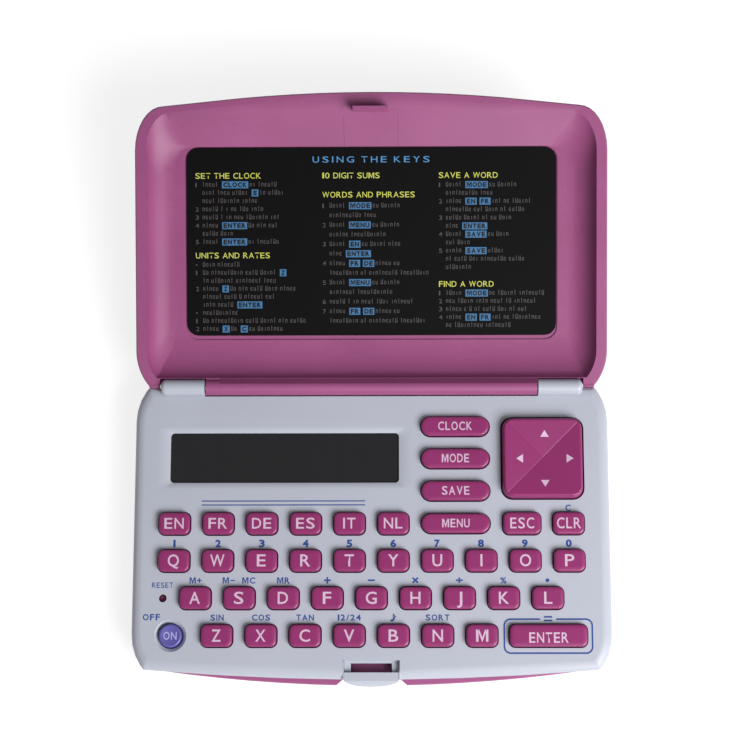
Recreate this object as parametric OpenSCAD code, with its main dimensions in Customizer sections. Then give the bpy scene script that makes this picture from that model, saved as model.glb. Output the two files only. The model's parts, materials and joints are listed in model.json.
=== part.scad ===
// Handheld translator: a clamshell with a keyboard base and a barrel-hinged lid.
// Units are millimetres. The origin is the middle of the base's underside, +Z is up,
// +X is to the right of a user and the hinge is at the back, towards +Y.
// The modules are drawn with the hinge axis over y = 0, and placed() moves them home.

/* [Case] */
// Distance from the outer keys' middles to the case's sides
side_margin = 10.5; // [10:0.1:20]
// Distance from the hinge axis to the middle of the display and the direction pad
upper_in = 18.25; // [16.5:0.05:24]
// Distance from the last row of keys to the deck's front edge
row_margin = 10.75; // [10.3:0.05:16]
// Height of the seam between the two halves of the base
seam_h = 6; // [4.8:0.1:7]
// Thickness of the side walls
wall_t = 1.6; // [1.2:0.1:2]
// Thickness of the bottom
floor_t = 1.5; // [1.2:0.1:1.8]
// Thickness of the deck
deck_t = 1.5; // [1.2:0.1:2]
// Radius of the corners, seen from above
corner_r = 14; // [11:0.5:18]
// How far the deck's front corners lie behind its middle
deck_bow = 2.8; // [0.5:0.1:4]
// How far the two coloured shells stand out past the deck at the middle of the front
shell_lead = 1.5; // [0.3:0.1:2.5]
// How far the coloured shells' front corners lie behind their middle
shell_bow = 4.9; // [2:0.1:6]
// Width of the rounded shoulder round the deck
shoulder_w = 2.6; // [1:0.1:4]
// Height of that shoulder
shoulder_h = 1.6; // [0.5:0.1:2.5]
// Rounding of the bottom edge
bottom_r = 1.6; // [0.5:0.1:2]
// How far in from the sides the flat lies that the case stands on
rest_in = 4; // [3:0.1:6]

/* [Lid] */
// Thickness of the lid
lid_h = 6.5; // [6.3:0.1:10]
// Depth of the dished inside
dish_depth = 4.9; // [4.2:0.1:5.3]
// Width of the rim at the sides
rim_w = 2.8; // [2:0.1:4]
// Width of the rim at the middle of the front
rim_front_w = 3.8; // [3:0.1:5]
// How far the rounded side of the dish runs in to its floor
dish_side = 7; // [3:0.1:8]
// How far the sloped front of the dish runs in
dish_front = 8.6; // [5:0.1:10]
// How far the rounded back of the dish runs in
dish_back = 10.6; // [4:0.1:11]
// Gap between the closed lid's rim and the deck
rim_gap = 0.2; // [0.1:0.05:0.6]
// Angle between the deck and the open lid
open_angle = 168; // [100:1:172]
// Width of the reference card
card_w = 94.8; // [60:0.5:98]
// Height of the reference card
card_d = 48.2; // [30:0.5:48.4]
// Thickness of the reference card
card_t = 0.3; // [0.2:0.05:0.6]
// Play of the card in its recess, on the hinge's side
card_play = 0.9; // [0.2:0.1:1.5]
// How far the lid's rounded front corners run along the front
lid_corner_w = 7.2; // [5:0.1:12]
// How far they run along the sides
lid_corner_d = 11.3; // [6:0.1:13]
// Corner radius of the reference card
card_r = 3; // [1:0.1:6]

/* [Hinge] */
// Radius of the barrel and the knuckles
barrel_r = 2; // [1.8:0.05:2.3]
// Radius of the hinge pins
pin_r = 0.8; // [0.6:0.05:1]
// Running clearance round the pins
pin_gap = 0.05; // [0.03:0.01:0.1]
// Distance from the middle to the knuckles' inner ends
knuckle_in = 42.4; // [30:0.2:44]
// Length of a knuckle
knuckle_l = 11.2; // [8:0.2:11.6]
// Height of the hinge axis above the deck
axis_rise = 0.4; // [0.3:0.05:0.8]
// Clearance between parts that turn on the hinge
hinge_gap = 0.3; // [0.2:0.05:0.5]

/* [Keys] */
// Distance between neighbouring keys
key_pitch = 11; // [10.2:0.1:11.6]
// Distance between rows
row_pitch = 9.3; // [8.2:0.1:9.6]
// Width of a letter key
key_w = 7.8; // [6:0.1:8.2]
// Depth of a key, front to back
key_d = 5.5; // [4.5:0.1:6]
// Corner radius of a key
key_r = 1.5; // [0.5:0.1:2]
// Height of a key above the deck
key_rise = 1.6; // [1:0.1:3]
// Travel of a key
key_travel = 0.7; // [0.3:0.05:0.75]
// Clearance round a key
key_gap = 0.3; // [0.2:0.05:0.5]
// Width of the escape key
esc_w = 9.4; // [6:0.1:10]
// Width of the enter key
enter_w = 19.3; // [12:0.1:20]
// Gap between the enter key and its neighbour
enter_gap = 2.95; // [2:0.05:4]
// Width of a pill key
pill_w = 17.2; // [12:0.1:17.6]
// Depth of a pill key
pill_d = 4.9; // [3.5:0.1:5.6]
// Distance between pill keys
pill_pitch = 8.2; // [7.4:0.1:8.4]
// Gap between the display's window and the pill keys
pill_gap = 5.6; // [5.2:0.1:9]
// Diameter of the round key
on_dia = 5.8; // [4:0.1:6.8]
// How far the round key lies outside the first column
on_out = 0.6; // [0.3:0.1:1.5]
// Diameter of the dish round it
on_dish = 8; // [7.8:0.1:8.6]
// Diameter of the reset hole
reset_dia = 2; // [1.6:0.1:3]
// How far the reset hole lies outside the first column
reset_out = 2.7; // [2.3:0.1:3.5]

/* [Direction pad] */
// Side of the square pad
pad_w = 20.4; // [16:0.1:21]
// Corner radius of the pad
pad_r = 2.6; // [1.5:0.1:4]
// Height of the pad's rim above the deck
pad_rise = 2.5; // [1.5:0.1:3]
// Depth of the dish in its top
pad_dish = 1.5; // [0.3:0.1:1.8]
// Gap between the pill keys and the pad
pad_lead = 3.2; // [2.6:0.1:6]
// Distance from the pad to the case's side
pad_margin = 6.6; // [6:0.1:15]
// Clearance round the pad
pad_gap = 0.35; // [0.3:0.05:0.6]

/* [Display] */
// Width of the visible window
window_w = 58; // [40:0.5:58.5]
// Height of the visible window
window_d = 12.7; // [8:0.1:13]
// How far the window reaches outside the first column's middle
window_out = 1.5; // [0.5:0.1:2.5]
// Width of the sloped frame at the window's sides
funnel_side = 3.2; // [1:0.1:3.4]
// Width of the sloped frame at the window's front and back
funnel_end = 1.6; // [0.8:0.1:1.8]
// Depth of the sloped frame
funnel_depth = 0.85; // [0.3:0.05:0.95]
// Thickness of the lens
lens_t = 0.8; // [0.5:0.05:0.9]
// Thickness of the display glass
lcd_t = 1.1; // [0.7:0.05:1.2]

/* [Latch] */
// Width of the latch button
latch_w = 13.6; // [12:0.1:16]
// Length of the push pad, front to back
latch_pad_d = 3.5; // [3:0.1:4.2]
// Travel of the latch button
latch_travel = 0.7; // [0.3:0.05:0.75]
// Width of the lid's hook
hook_w = 9; // [6:0.1:9.4]
// Thickness of the hook
hook_t = 0.95; // [0.7:0.05:1]
// Height of the plate that the hook grips
catch_t = 1.2; // [0.8:0.05:1.4]
// Clearance round the latch button
latch_gap = 0.3; // [0.2:0.05:0.4]

/* [Inside] */
// Thickness of the circuit board
board_t = 1; // [0.6:0.1:1.1]
// Thickness of the silicone mat
mat_t = 0.7; // [0.5:0.05:0.9]
// Height of a dome on the mat
dome_h = 0.8; // [0.75:0.05:1]
// Thickness of a coin cell
cell_t = 3.2; // [2.6:0.1:5]
// Diameter of a coin cell
cell_dia = 20; // [16:0.5:20]
// Room between the cells and the circuit board
cell_room = 0.6; // [0.4:0.1:4]
// Thickness of the battery cover
cover_t = 1.7; // [1.4:0.05:1.7]
// Radius of a case screw's shank
screw_r = 0.95; // [0.8:0.05:1.05]
// Diameter of the piezo buzzer
buzzer_dia = 16; // [10:0.5:18]
// Distance from the middle to the buzzer
buzzer_x = 32; // [28:0.5:36]
// Distance from the middle to the chip
chip_x = 15; // [4:0.5:16]
// Radius of the chip's cover
chip_r = 6; // [4:0.5:7]
// Distance from the middle to the front screws
screw_x = 44; // [42:0.2:45]

/* [Hidden] */
skin = 0.01;                 // thickness of a slice in a hull
seat = 0.05;                 // gap between pieces that lie on each other
lap = 0.5;                   // how far a rib or boss runs into what it stands on
over = 1;                    // how far a cut runs past the face it opens

// Across: the display, the pill keys and the pad share the width that the letter keys give
end_key_x = 4.5 * key_pitch;
window_x = end_key_x + window_out - window_w / 2;
pill_x = pill_w / 2 + max(window_w / 2 - window_x + pill_gap, (key_pitch + key_w) / 2 + pad_lead);
pad_x = pill_x + pill_w / 2 + pad_lead + pad_w / 2;
half_w = max(end_key_x + side_margin, pad_x + pad_w / 2 + pad_margin);
case_w = 2 * half_w;
on_x = end_key_x + on_out;
reset_x = end_key_x + reset_out;

// Front to back: rows of keys from the display down to the bottom letters
upper_y = -upper_in;
first_drop = 0.1;            // from the third pill key to the middle of the display
row_y = [for (i = [0:3]) upper_y - 2 * pill_pitch - first_drop - i * row_pitch];
deck_d = row_margin - row_y[3];
letters = ["qwertyuiop", "asdfghjkl", "zxcvbnm"];
row_x = [-4.5, -4, -3.5];    // the first key of each letter row, in key pitches
pill_names = ["pill_menu", "pill_save", "pill_mode", "pill_clock"];
KEYS = concat(
    [for (r = [0:2], i = [0:len(letters[r]) - 1])
        [str("key_", letters[r][i]), (row_x[r] + i) * key_pitch, row_y[r + 1], key_w, key_d, key_r]],
    [for (i = [0:5]) [str("key_lang_", i + 1), (i - 4.5) * key_pitch, row_y[0], key_w, key_d, key_r]],
    [["key_esc", pad_x - (pad_w - esc_w) / 2 + 0.1, row_y[0], esc_w, key_d, key_r],
     ["key_clr", pad_x + (pad_w - key_w) / 2, row_y[0], key_w, key_d, key_r],
     ["key_enter", 2.5 * key_pitch + key_w / 2 + enter_gap + enter_w / 2, row_y[3], enter_w, key_d, key_r]],
    [for (i = [0:3])
        [pill_names[i], pill_x, row_y[0] + i * pill_pitch, pill_w, pill_d, pill_d / 2 - skin]]);

// Upwards: cover, cells, board, mat, domes, and the keys that hang under the deck
cover_bottom = 0.1;
cover_top = cover_bottom + cover_t;
cell_z = cover_top + 2 * seat;
board_z = cell_z + cell_t + cell_room;
board_top = board_z + board_t;
mat_z = board_top + seat;
mat_top = mat_z + mat_t;
dome_top = mat_top + dome_h;
flange_gap = 0.2;
flange_t = 0.6;
flange_w = 0.55;
post_h = 0.4;
post_r = 1.6;
post_z = dome_top + seat;
flange_z = post_z + post_h;
under_deck = flange_z + flange_t + flange_gap;
base_h = under_deck + deck_t;

axis_z = base_h + axis_rise;
hinge_y = deck_d / 2;
shell_d = deck_d + shell_lead;
deck_back = 0.2;             // the base's back wall stands this far behind the hinge axis
lid_back = -0.6;             // and the closed lid's back wall this far in front of it
rim_z = base_h + rim_gap;
notch_r = barrel_r + hinge_gap;
hinge_wall = 1.3;            // between the barrel's channel and the inside of the deck
cavity_back = -(notch_r + hinge_wall);
pin_in = 5.8;                // how far a pin runs into the barrel
pin_out = 2.2;               // wall left at a knuckle's blind end
lip_back = barrel_r + 0.4;   // from the axis to the back lip of the lid's dish
card_shift = 0.5;            // of the card from the middle of the dish, towards the hinge

// Display, from the lens down
window_y = upper_y + 0.3;
lens_lip = 1.6;
pocket_depth = 0.3;
lcd_margin = 3;              // of the display glass round the window, at its sides and at its ends
lcd_end = 2.9;
lens_z = under_deck + pocket_depth - seat - lens_t;
lcd_w = window_w + 2 * lcd_margin;
lcd_d = window_d + 2 * lcd_end;
lcd_z = lens_z - 2 * seat - lcd_t;
zebra_w = 1.8;
rib_t = 1;
rib_gap = 0.3;

// Latch: a push pad, and behind it a frame round the slot that the hook drops into
slot_w = 2.3;
catch_w = 1.6;
latch_lead = 0.25;           // of the button past the coloured shells
slot_front = deck_d - 1.7;
slot_back = slot_front - slot_w;
latch_front = shell_d + latch_lead;
latch_back = slot_back - catch_w;
notch_back = slot_back - latch_travel;
catch_top = under_deck - 0.1;
catch_z = catch_top - catch_t;
pad_top = base_h - 0.4;
pad_bottom = 4;
frame_arm = 1.7;
pad_back = latch_front - latch_pad_d;
hook_front = slot_back + 1.5;
hook_tip = catch_z - 1;
leg_t = 0.6;
leg_w = 6;
spring_z = 3.8;
spring_r = 1;
spring_wire = 0.35;
spring_l = 3;
spring_turns = 4;
rib_y = latch_back - spring_l;

// Screws: the front ones stand clear of the flanges of the last row of keys
boss_r = 1.9;
foot_r = 2.9;
screw_front_y = row_y[3] - key_d / 2 - flange_w - boss_r - 0.25;
screw_places = [for (s = [-1, 1]) each [[s * (half_w - 5), -6.5], [s * screw_x, screw_front_y]]];
head_r = 1.7;
head_t = 1.3;
sink_r = 1.9;
sink_z = 3;
slot_l = 2.2;                // of the cross in the head
slot_t = 0.4;

// Cells and their cover
bay_in = 13.5;
bay_x = half_w - bay_in;
cell_pitch = cell_dia + 2;
bay_y = -deck_d / 2 - 0.7;
cover_gap = 0.3;
cover_w = 25;
cover_in = half_w - cover_w;
cover_l = 2 * cell_pitch + 1;
tongue_t = 0.8;
tongue_w = 0.9;
rail_w = 2.6;
contact_l = 6;
contact_w = 3;
contact_t = 0.15;
bay_end = cover_in - bay_x - 2;
bay_l = half_w - wall_t + 0.5 - (cover_in - 2);

// Board, and what stands on it or hangs under it
board_side = 0.8;            // clearance of the board at the side walls
post_x = [for (x = [-46, -18, 8, 28]) x * half_w / 60];
post_y = [row_y[0] + row_pitch / 2, row_y[3] + row_pitch / 2];
board_post_r = 1.4;
buzzer_y = upper_y - 4;
chip_y = row_y[1] + 1.7;

// Four-way pad
pivot_z = mat_top + 0.75;
pivot_r = 1.5;
pad_bottom_z = pivot_z + 0.1;
tab_t = 0.3;
tab_w = 6;
pad_dome_x = 7;

$fn = 48;

white = "#ccd0da";
pink = "#b0609a";
magenta = "#a83878";
violet = "#6f66b8";
black = "#202022";

function arc(x, y, r, from, to, n) =
    [for (i = [0:n]) [x + r * cos(from + (to - from) * i / n), y + r * sin(from + (to - from) * i / n)]];

// Points of a rectangle with round corners
function round_points(w, d, r, n = 5) = concat(
    arc(w / 2 - r, d / 2 - r, r, 0, 90, n), arc(r - w / 2, d / 2 - r, r, 90, 180, n),
    arc(r - w / 2, r - d / 2, r, 180, 270, n), arc(w / 2 - r, r - d / 2, r, 270, 360, n));

module placed() translate([0, hinge_y, 0]) children();

// Turns what is drawn on the closed lid up to the open lid
module opened()
    placed() translate([0, 0, axis_z]) rotate([-open_angle, 0, 0]) translate([0, 0, -axis_z]) children();

module rounded(w, d, r) polygon(round_points(w, d, r));

module block(w, d, r, bottom, top) translate([0, 0, bottom]) linear_extrude(top - bottom) rounded(w, d, r);

// Outline from above: straight sides, round corners and a front edge bowed by a parabola
module plan(side, front, bow, back) {
    w = half_w - side;
    r = max(1, corner_r - side);
    front_c = max(r, min(deck_d - 0.8 * corner_r, front - 0.8 * r));
    back_c = max(0.62 * corner_r - deck_back, 0.62 * r - back);
    intersection() {
        polygon(concat(
            arc(w - r, -back_c, r, 0, 90, 8), arc(r - w, -back_c, r, 90, 180, 8),
            arc(r - w, -front_c, r, 180, 270, 8), arc(w - r, -front_c, r, 270, 360, 8)));
        polygon(concat(
            [[half_w + 1, back], [-half_w - 1, back]],
            [for (i = [-8:8]) [i / 8 * (half_w + 1), bow * pow(i / 8, 2) - front]]));
    }
}

// Outline of the lid: as plan(), with front corners that run further back than across
module lid_plan(side, front, bow, back) {
    w = half_w - side;
    rx = lid_corner_w - 0.25 * side;
    ry = lid_corner_d - 0.5 * side;
    r = max(1, corner_r - side);
    back_c = max(0.62 * corner_r - deck_back, 0.62 * r - back);
    front_c = front - bow * pow((w - rx) / (half_w + 1), 2) + 0.25 - ry;
    turn = acos(min(1, (back_c + back) / r));
    polygon(concat(
        [for (i = [0:8]) let (a = (90 - turn) * i / 8) [w - r + r * cos(a), r * sin(a) - back_c]],
        [for (i = [0:8]) let (a = 90 + turn + (90 - turn) * i / 8) [r - w + r * cos(a), r * sin(a) - back_c]],
        [for (i = [0:8]) let (a = 180 + 90 * i / 8) [rx - w + rx * cos(a), ry * sin(a) - front_c]],
        [for (i = [-7:7]) let (x = i / 8 * (w - rx)) [x, bow * pow(x / (half_w + 1), 2) - front]],
        [for (i = [0:8]) let (a = 270 + 90 * i / 8) [w - rx + rx * cos(a), ry * sin(a) - front_c]]));
}

module lid_slice(z, side, front, bow, back)
    translate([0, 0, z]) linear_extrude(skin) lid_plan(side, front, bow, back);

module slice(z, side, front, bow, back) translate([0, 0, z]) linear_extrude(skin) plan(side, front, bow, back);

module deck_slice(z, inset) slice(z, inset, deck_d - inset, deck_bow, deck_back - inset);

module shell_slice(z, inset) slice(z, inset, shell_d - inset, shell_bow, deck_back - inset);

// Underside of the base: a flat with long, low corners, and the rounded edge round it
module underside() {
    x = half_w - rest_in;
    front = rest_in - shell_d;
    back = deck_back - 0.6 * rest_in;
    in = half_w / 2;
    up = 2 * rest_in;
    linear_extrude(skin) polygon([
        [x, front + up], [x, back - up], [x - in, back], [in - x, back],
        [-x, back - up], [-x, front + up], [in - x, front], [x - in, front]]);
    shell_slice(0.35 * bottom_r, 0.4 * bottom_r);
    shell_slice(bottom_r, 0.02);
}

module x_cylinder(r, from, to, y = 0, z = axis_z)
    translate([from, y, z]) rotate([0, 90, 0]) cylinder(r = r, h = to - from);

// A knuckle, round at its outer end
module knuckle() {
    rounding = 1.2;
    translate([knuckle_in, 0, axis_z]) rotate([0, 90, 0]) rotate_extrude()
        polygon(concat([[0, 0], [barrel_r, 0]],
            arc(barrel_r - rounding, knuckle_l - rounding, rounding, 0, 90, 6), [[0, knuckle_l]]));
    translate([knuckle_in, -barrel_r, under_deck])
        cube([knuckle_l - rounding, barrel_r + deck_back, axis_z - under_deck]);
}

// Holes in the deck for every key
module key_holes() {
    for (key = KEYS) translate([key[1], key[2]])
        block(key[3] + 2 * key_gap, key[4] + 2 * key_gap, key[5] + key_gap, under_deck - over, base_h + over);
    translate([-on_x, row_y[3], under_deck - over]) cylinder(d = on_dia + 2 * key_gap, h = deck_t + 2 * over);
    translate([-on_x, row_y[3], base_h - 0.7])
        cylinder(d1 = on_dia + 2 * key_gap, d2 = on_dish + 2 * skin, h = 0.7 + skin);
    translate([-reset_x, row_y[2], under_deck - over]) cylinder(d = reset_dia, h = deck_t + 2 * over);
    translate([pad_x, upper_y])
        block(pad_w + 2 * pad_gap, pad_w + 2 * pad_gap, pad_r + pad_gap, under_deck - over, base_h + over);
}

// The window, its sloped frame and the pocket for the lens
module display_cut() translate([-window_x, window_y]) {
    hull() {
        block(window_w, window_d, 1, base_h - funnel_depth, base_h - funnel_depth + skin);
        block(window_w + 2 * funnel_side, window_d + 2 * funnel_end, 1.4, base_h, base_h + skin);
    }
    block(window_w, window_d, 1, under_deck - over, base_h);
    block(window_w + 2 * lens_lip + 2 * rib_gap, window_d + 2 * lens_lip + 2 * rib_gap, 1,
        under_deck - over, under_deck + pocket_depth);
}

module display_rib() translate([-window_x, window_y]) difference() {
    block(lcd_w + 2 * (rib_t + rib_gap), lcd_d + 2 * (rib_t + rib_gap), 1, board_top + rib_gap, under_deck + lap / 2);
    block(lcd_w + 2 * rib_gap, lcd_d + 2 * rib_gap, 0.5, board_top, base_h);
}

module upper_case() color(white) placed() {
    difference() {
        union() {
            difference() {
                hull() {
                    deck_slice(seam_h + seat, 0);
                    deck_slice(base_h - shoulder_h, 0);
                    deck_slice(base_h - 0.55 * shoulder_h, 0.14 * shoulder_w);
                    deck_slice(base_h - 0.2 * shoulder_h, 0.45 * shoulder_w);
                    deck_slice(base_h - skin, shoulder_w);
                }
                translate([0, 0, seam_h]) linear_extrude(under_deck - seam_h)
                    plan(wall_t, deck_d - wall_t, deck_bow, cavity_back);
            }
            display_rib();
            for (p = screw_places) translate([p[0], p[1], seam_h + seat])
                cylinder(r = boss_r, h = under_deck - seam_h);
            for (s = [-1, 1]) scale_x(s) knuckle();
        }
        x_cylinder(notch_r, -knuckle_in, knuckle_in);
        for (s = [-1, 1]) scale_x(s) x_cylinder(pin_r + pin_gap, knuckle_in - over, knuckle_in + knuckle_l - pin_out + 0.2);
        key_holes();
        display_cut();
        latch_notch(seam_h - over, base_h + over, notch_back);
        for (p = screw_places) translate([p[0], p[1], seam_h - over])
            cylinder(r = screw_r + seat, h = under_deck - seam_h + over);
    }
}

// Mirrors to the left where s is -1
module scale_x(s) if (s > 0) children(); else mirror([1, 0, 0]) children();

// The gap that the latch button fills
module latch_notch(bottom, top, back) {
    w = latch_w + 2 * latch_gap;
    translate([-w / 2, -shell_d - 2, bottom]) cube([w, shell_d + 2 - back, top - bottom]);
}

module lower_case() color(pink) placed() {
    difference() {
        union() {
            difference() {
                hull() {
                    underside();
                    shell_slice(seam_h - 0.5, 0);
                    shell_slice(seam_h - skin, 0.3);
                }
                translate([0, 0, floor_t]) linear_extrude(seam_h)
                    plan(wall_t + 0.2, deck_d - wall_t, deck_bow, -wall_t);
            }
            for (p = screw_places) translate([p[0], p[1], floor_t - lap])
                cylinder(r = foot_r, h = seam_h - floor_t + lap);
            board_posts();
            cell_bay();
            latch_guides();
            translate([-buzzer_x, buzzer_y, floor_t - lap]) difference() {
                cylinder(d = buzzer_dia + 2 * (rib_gap + rib_t), h = lap + 1.2);
                translate([0, 0, lap]) cylinder(d = buzzer_dia + 2 * rib_gap, h = 3);
            }
        }
        for (p = screw_places) translate([p[0], p[1], -over]) {
            cylinder(r = sink_r, h = sink_z + over);
            cylinder(r = screw_r + 0.3, h = seam_h + 2 * over);
        }
        cover_cut();
        latch_notch(pad_bottom - latch_gap, seam_h + over, latch_front - latch_pad_d - latch_gap - latch_travel);
        notch_mouth();
    }
}

// The lower shell's front ledge stops beside the latch button, with slanted ends
module notch_mouth() {
    x = latch_w / 2 + latch_gap + 0.3;
    translate([0, 0, -over]) linear_extrude(seam_h + 2 * over)
        polygon([[-x, -deck_d], [x, -deck_d], [x + 2.8, -shell_d - 1], [-x - 2.8, -shell_d - 1]]);
}

// Posts that carry the circuit board
module board_posts()
    for (x = post_x, y = post_y)
        translate([x, y, floor_t - lap]) cylinder(r = board_post_r, h = board_z - floor_t + lap);

module cell_bay() {
    top = cell_z + cell_t - 0.1;
    translate([bay_x, bay_y]) {
        for (s = [-1, 1]) translate([bay_end, s * (cover_l / 2 + rail_w / 2) - rail_w / 2, floor_t - 1])
            cube([bay_l, rail_w, top - floor_t + 1]);
        difference() {
            translate([bay_end, -cover_l / 2 - lap, floor_t - 1])
                cube([bay_l, cover_l + 2 * lap, top - floor_t + 1]);
            for (s = [-1, 1]) translate([0, s * cell_pitch / 2, 0])
                cylinder(d = cell_dia + 2 * rib_gap, h = base_h);
        }
    }
}

// Room for the cover and its tongues, open at the right-hand side
module cover_cut() {
    out = cover_w + 2;
    translate([cover_in - cover_gap, bay_y - cover_l / 2, -over]) cube([out, cover_l, over + cover_top + seat]);
    translate([cover_in - cover_gap, bay_y - cover_l / 2 - tongue_w - seat, cover_top - tongue_t - 2 * seat])
        cube([out, cover_l + 2 * tongue_w + 2 * seat, tongue_t + 3 * seat]);
}

module battery_cover() color(pink) placed() intersection() {
    hull() {
        underside();
        shell_slice(seam_h - 0.5, 0);
    }
    difference() {
        union() {
            translate([cover_in, bay_y - cover_l / 2 + cover_gap, cover_bottom])
                cube([half_w, cover_l - 2 * cover_gap, cover_t]);
            translate([cover_in, bay_y - cover_l / 2 - tongue_w + cover_gap, cover_top - tongue_t])
                cube([half_w - 1.5 - cover_in, cover_l + 2 * (tongue_w - cover_gap), tongue_t]);
        }
        // Grip ribs for a thumb
        for (i = [0:5]) translate([half_w - 12 + i * 1.2, bay_y - 5, cover_bottom - over]) cube([0.6, 10, over + 0.4]);
    }
}

// Rails under the latch frame's arms, and the rib that the spring stands on
module latch_guides() {
    for (s = [-1, 1]) scale_x(s) translate([latch_w / 2 - 1.2, -slot_front + latch_travel + 0.3, floor_t - lap])
        cube([1, slot_w - 0.6 - latch_travel, catch_z - 0.1 - floor_t + lap]);
    translate([-leg_w / 2, -rib_y, floor_t - lap]) cube([leg_w, 1, board_z - floor_t]);
}

module latch_button() color(white) placed() {
    difference() {
        union() {
            intersection() {
                translate([0, 0, pad_bottom]) linear_extrude(pad_top - pad_bottom) polygon(concat(
                    [[latch_w / 2, -pad_back], [-latch_w / 2, -pad_back]],
                    [for (i = [-8:8]) [i / 8 * latch_w / 2, 1.3 * pow(abs(i) / 8, 3) - latch_front]]));
                translate([-latch_w, 0, 0]) rotate([90, 0, 90]) linear_extrude(2 * latch_w) polygon([
                    [-pad_back, pad_bottom], [-latch_front + 1, pad_bottom], [-latch_front, pad_bottom + 1],
                    [-latch_front, pad_top - 1.6], [-latch_front + 0.5, pad_top - 0.6],
                    [-latch_front + 1.4, pad_top], [-pad_back, pad_top]]);
            }
            translate([skin - latch_w / 2, -pad_back - lap, catch_z])
                cube([latch_w - 2 * skin, pad_back + lap - latch_back, catch_t]);
            translate([-leg_w / 2, -latch_back - leg_t, spring_z - spring_r - 0.2])
                cube([leg_w, leg_t, catch_z + lap - spring_z + spring_r + 0.2]);
        }
        translate([frame_arm - latch_w / 2, -slot_front, catch_z - over])
            cube([latch_w - 2 * frame_arm, slot_w, catch_t + 2 * over]);
    }
}

// Coil spring between the button's leg and the rib
module latch_spring() color("silver") placed()
    translate([0, -latch_back + seat + spring_wire / 2, spring_z]) rotate([-90, 0, 0])
        coil(spring_r, spring_wire / 2, spring_l - 2 * seat - spring_wire, spring_turns, 12, 6);

// A round wire wound into a helix: a ring of points at each step along it
module coil(r, wire_r, length, turns, steps, sides) {
    last = turns * steps;
    polyhedron(
        [for (i = [0:last], k = [0:sides - 1])
            let (a = 360 * i / steps, b = 360 * k / sides, out = r + wire_r * cos(b))
            [out * cos(a), out * sin(a), length * i / last + wire_r * sin(b)]],
        concat(
            [for (i = [0:last - 1], k = [0:sides - 1])
                let (n = (k + 1) % sides)
                [i * sides + k, i * sides + n, (i + 1) * sides + n, (i + 1) * sides + k]],
            [[for (k = [sides - 1:-1:0]) k], [for (k = [0:sides - 1]) last * sides + k]]));
}

module lid_shell() color(pink) opened() {
    floor_z = rim_z + dish_depth;
    dish_n = 6;
    bow = 2.2;
    difference() {
        union() {
            difference() {
                hull() for (s = [[0, 0.35], [0.5, 0], [2.8, 0.1], [lid_h - 1.6, 0.9],
                                 [lid_h - 0.5, 2.2], [lid_h - skin, 4.4]])
                    lid_slice(rim_z + s[0], s[1] + 0.05, shell_d - s[1], shell_bow, lid_back - 0.7 * s[1]);
                hull() for (i = [0:dish_n]) {
                    turn = 90 * i / dish_n;
                    lid_slice(rim_z - skin + (dish_depth + skin) * sin(turn),
                        rim_w + dish_side * (1 - cos(turn)),
                        shell_d - rim_front_w - dish_front * sin(turn), bow,
                        -lip_back - dish_back * (1 - cos(turn)));
                }
                translate([0, card_y() + card_play / 2, 0])
                    block(card_w + 0.6, card_d + 0.4 + card_play, card_r + 0.3, floor_z - 1, floor_z + card_t + seat);
            }
            x_cylinder(barrel_r, -knuckle_in + hinge_gap, knuckle_in - hinge_gap);
            hook();
        }
        for (s = [-1, 1]) scale_x(s) {
            x_cylinder(notch_r, knuckle_in - hinge_gap, knuckle_in + knuckle_l + hinge_gap);
            x_cylinder(pin_r + pin_gap, knuckle_in - pin_in - 0.2, knuckle_in + over);
        }
    }
}

// Middle of the card, between the dish's front slope and its back
function card_y() = card_shift - (shell_d - rim_front_w - dish_front + lip_back + dish_back) / 2;

// Hook under the closed lid's front rim: its nose points back, under the catch plate
module hook() {
    back = -hook_front + hook_t;
    translate([-hook_w / 2, 0, 0]) rotate([90, 0, 90]) linear_extrude(hook_w) polygon([
        [-hook_front, rim_z + 1.4], [back, rim_z + 2], [back, catch_z - 0.1],
        [back + 0.4, catch_z - 0.1], [back + 0.4, catch_z - 0.4], [back - 0.1, hook_tip],
        [-hook_front, hook_tip]]);
}

module reference_card() color(black) opened()
    translate([0, card_y(), 0])
        block(card_w, card_d, card_r, rim_z + dish_depth, rim_z + dish_depth + card_t);

module display_window() color(black) placed() translate([-window_x, window_y])
    block(window_w + 2 * lens_lip, window_d + 2 * lens_lip, 0.8, lens_z, lens_z + lens_t);

module lcd_glass() color("darkseagreen") placed() translate([-window_x, window_y])
    block(lcd_w, lcd_d, 0.3, lcd_z, lcd_z + lcd_t);

module zebra_strip() color("dimgray") placed()
    for (s = [-1, 1]) translate([-window_x - lcd_w / 2 + 1, window_y + s * (lcd_d - zebra_w) / 2 - zebra_w / 2,
        board_top]) cube([lcd_w - 2, zebra_w, lcd_z - seat - board_top]);

module hinge_pins() color("silver") placed() for (s = [-1, 1]) scale_x(s)
    x_cylinder(pin_r, knuckle_in - pin_in, knuckle_in + knuckle_l - pin_out);

// A key: a cap with drafted sides and a soft top edge, a flange under the deck, and a post
module key_cap(key) color(magenta) placed() translate([key[1], key[2]]) {
    top = base_h + key_rise;
    for (x = dome_places(key)) translate([x, 0, post_z]) cylinder(r = post_r, h = post_h + 0.1);
    block(key[3] + 2 * flange_w, key[4] + 2 * flange_w,
        min(key[5] + 3 * flange_w, key[4] / 2 + flange_w - skin), flange_z, flange_z + flange_t);
    hull() for (s = [[flange_z + 0.2 - top, 0], [-key_rise, 0], [-0.5, 0.15], [-0.18, 0.32], [-skin, 0.7]])
        block(key[3] - 2 * s[1], key[4] - 2 * s[1], key[5] - 0.3 * s[1], top + s[0], top + s[0] + skin);
}

// A long key stands on two domes
function dome_places(key) = key[3] > 2 * key[4] ? [-key[3] / 4, key[3] / 4] : [0];

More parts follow.
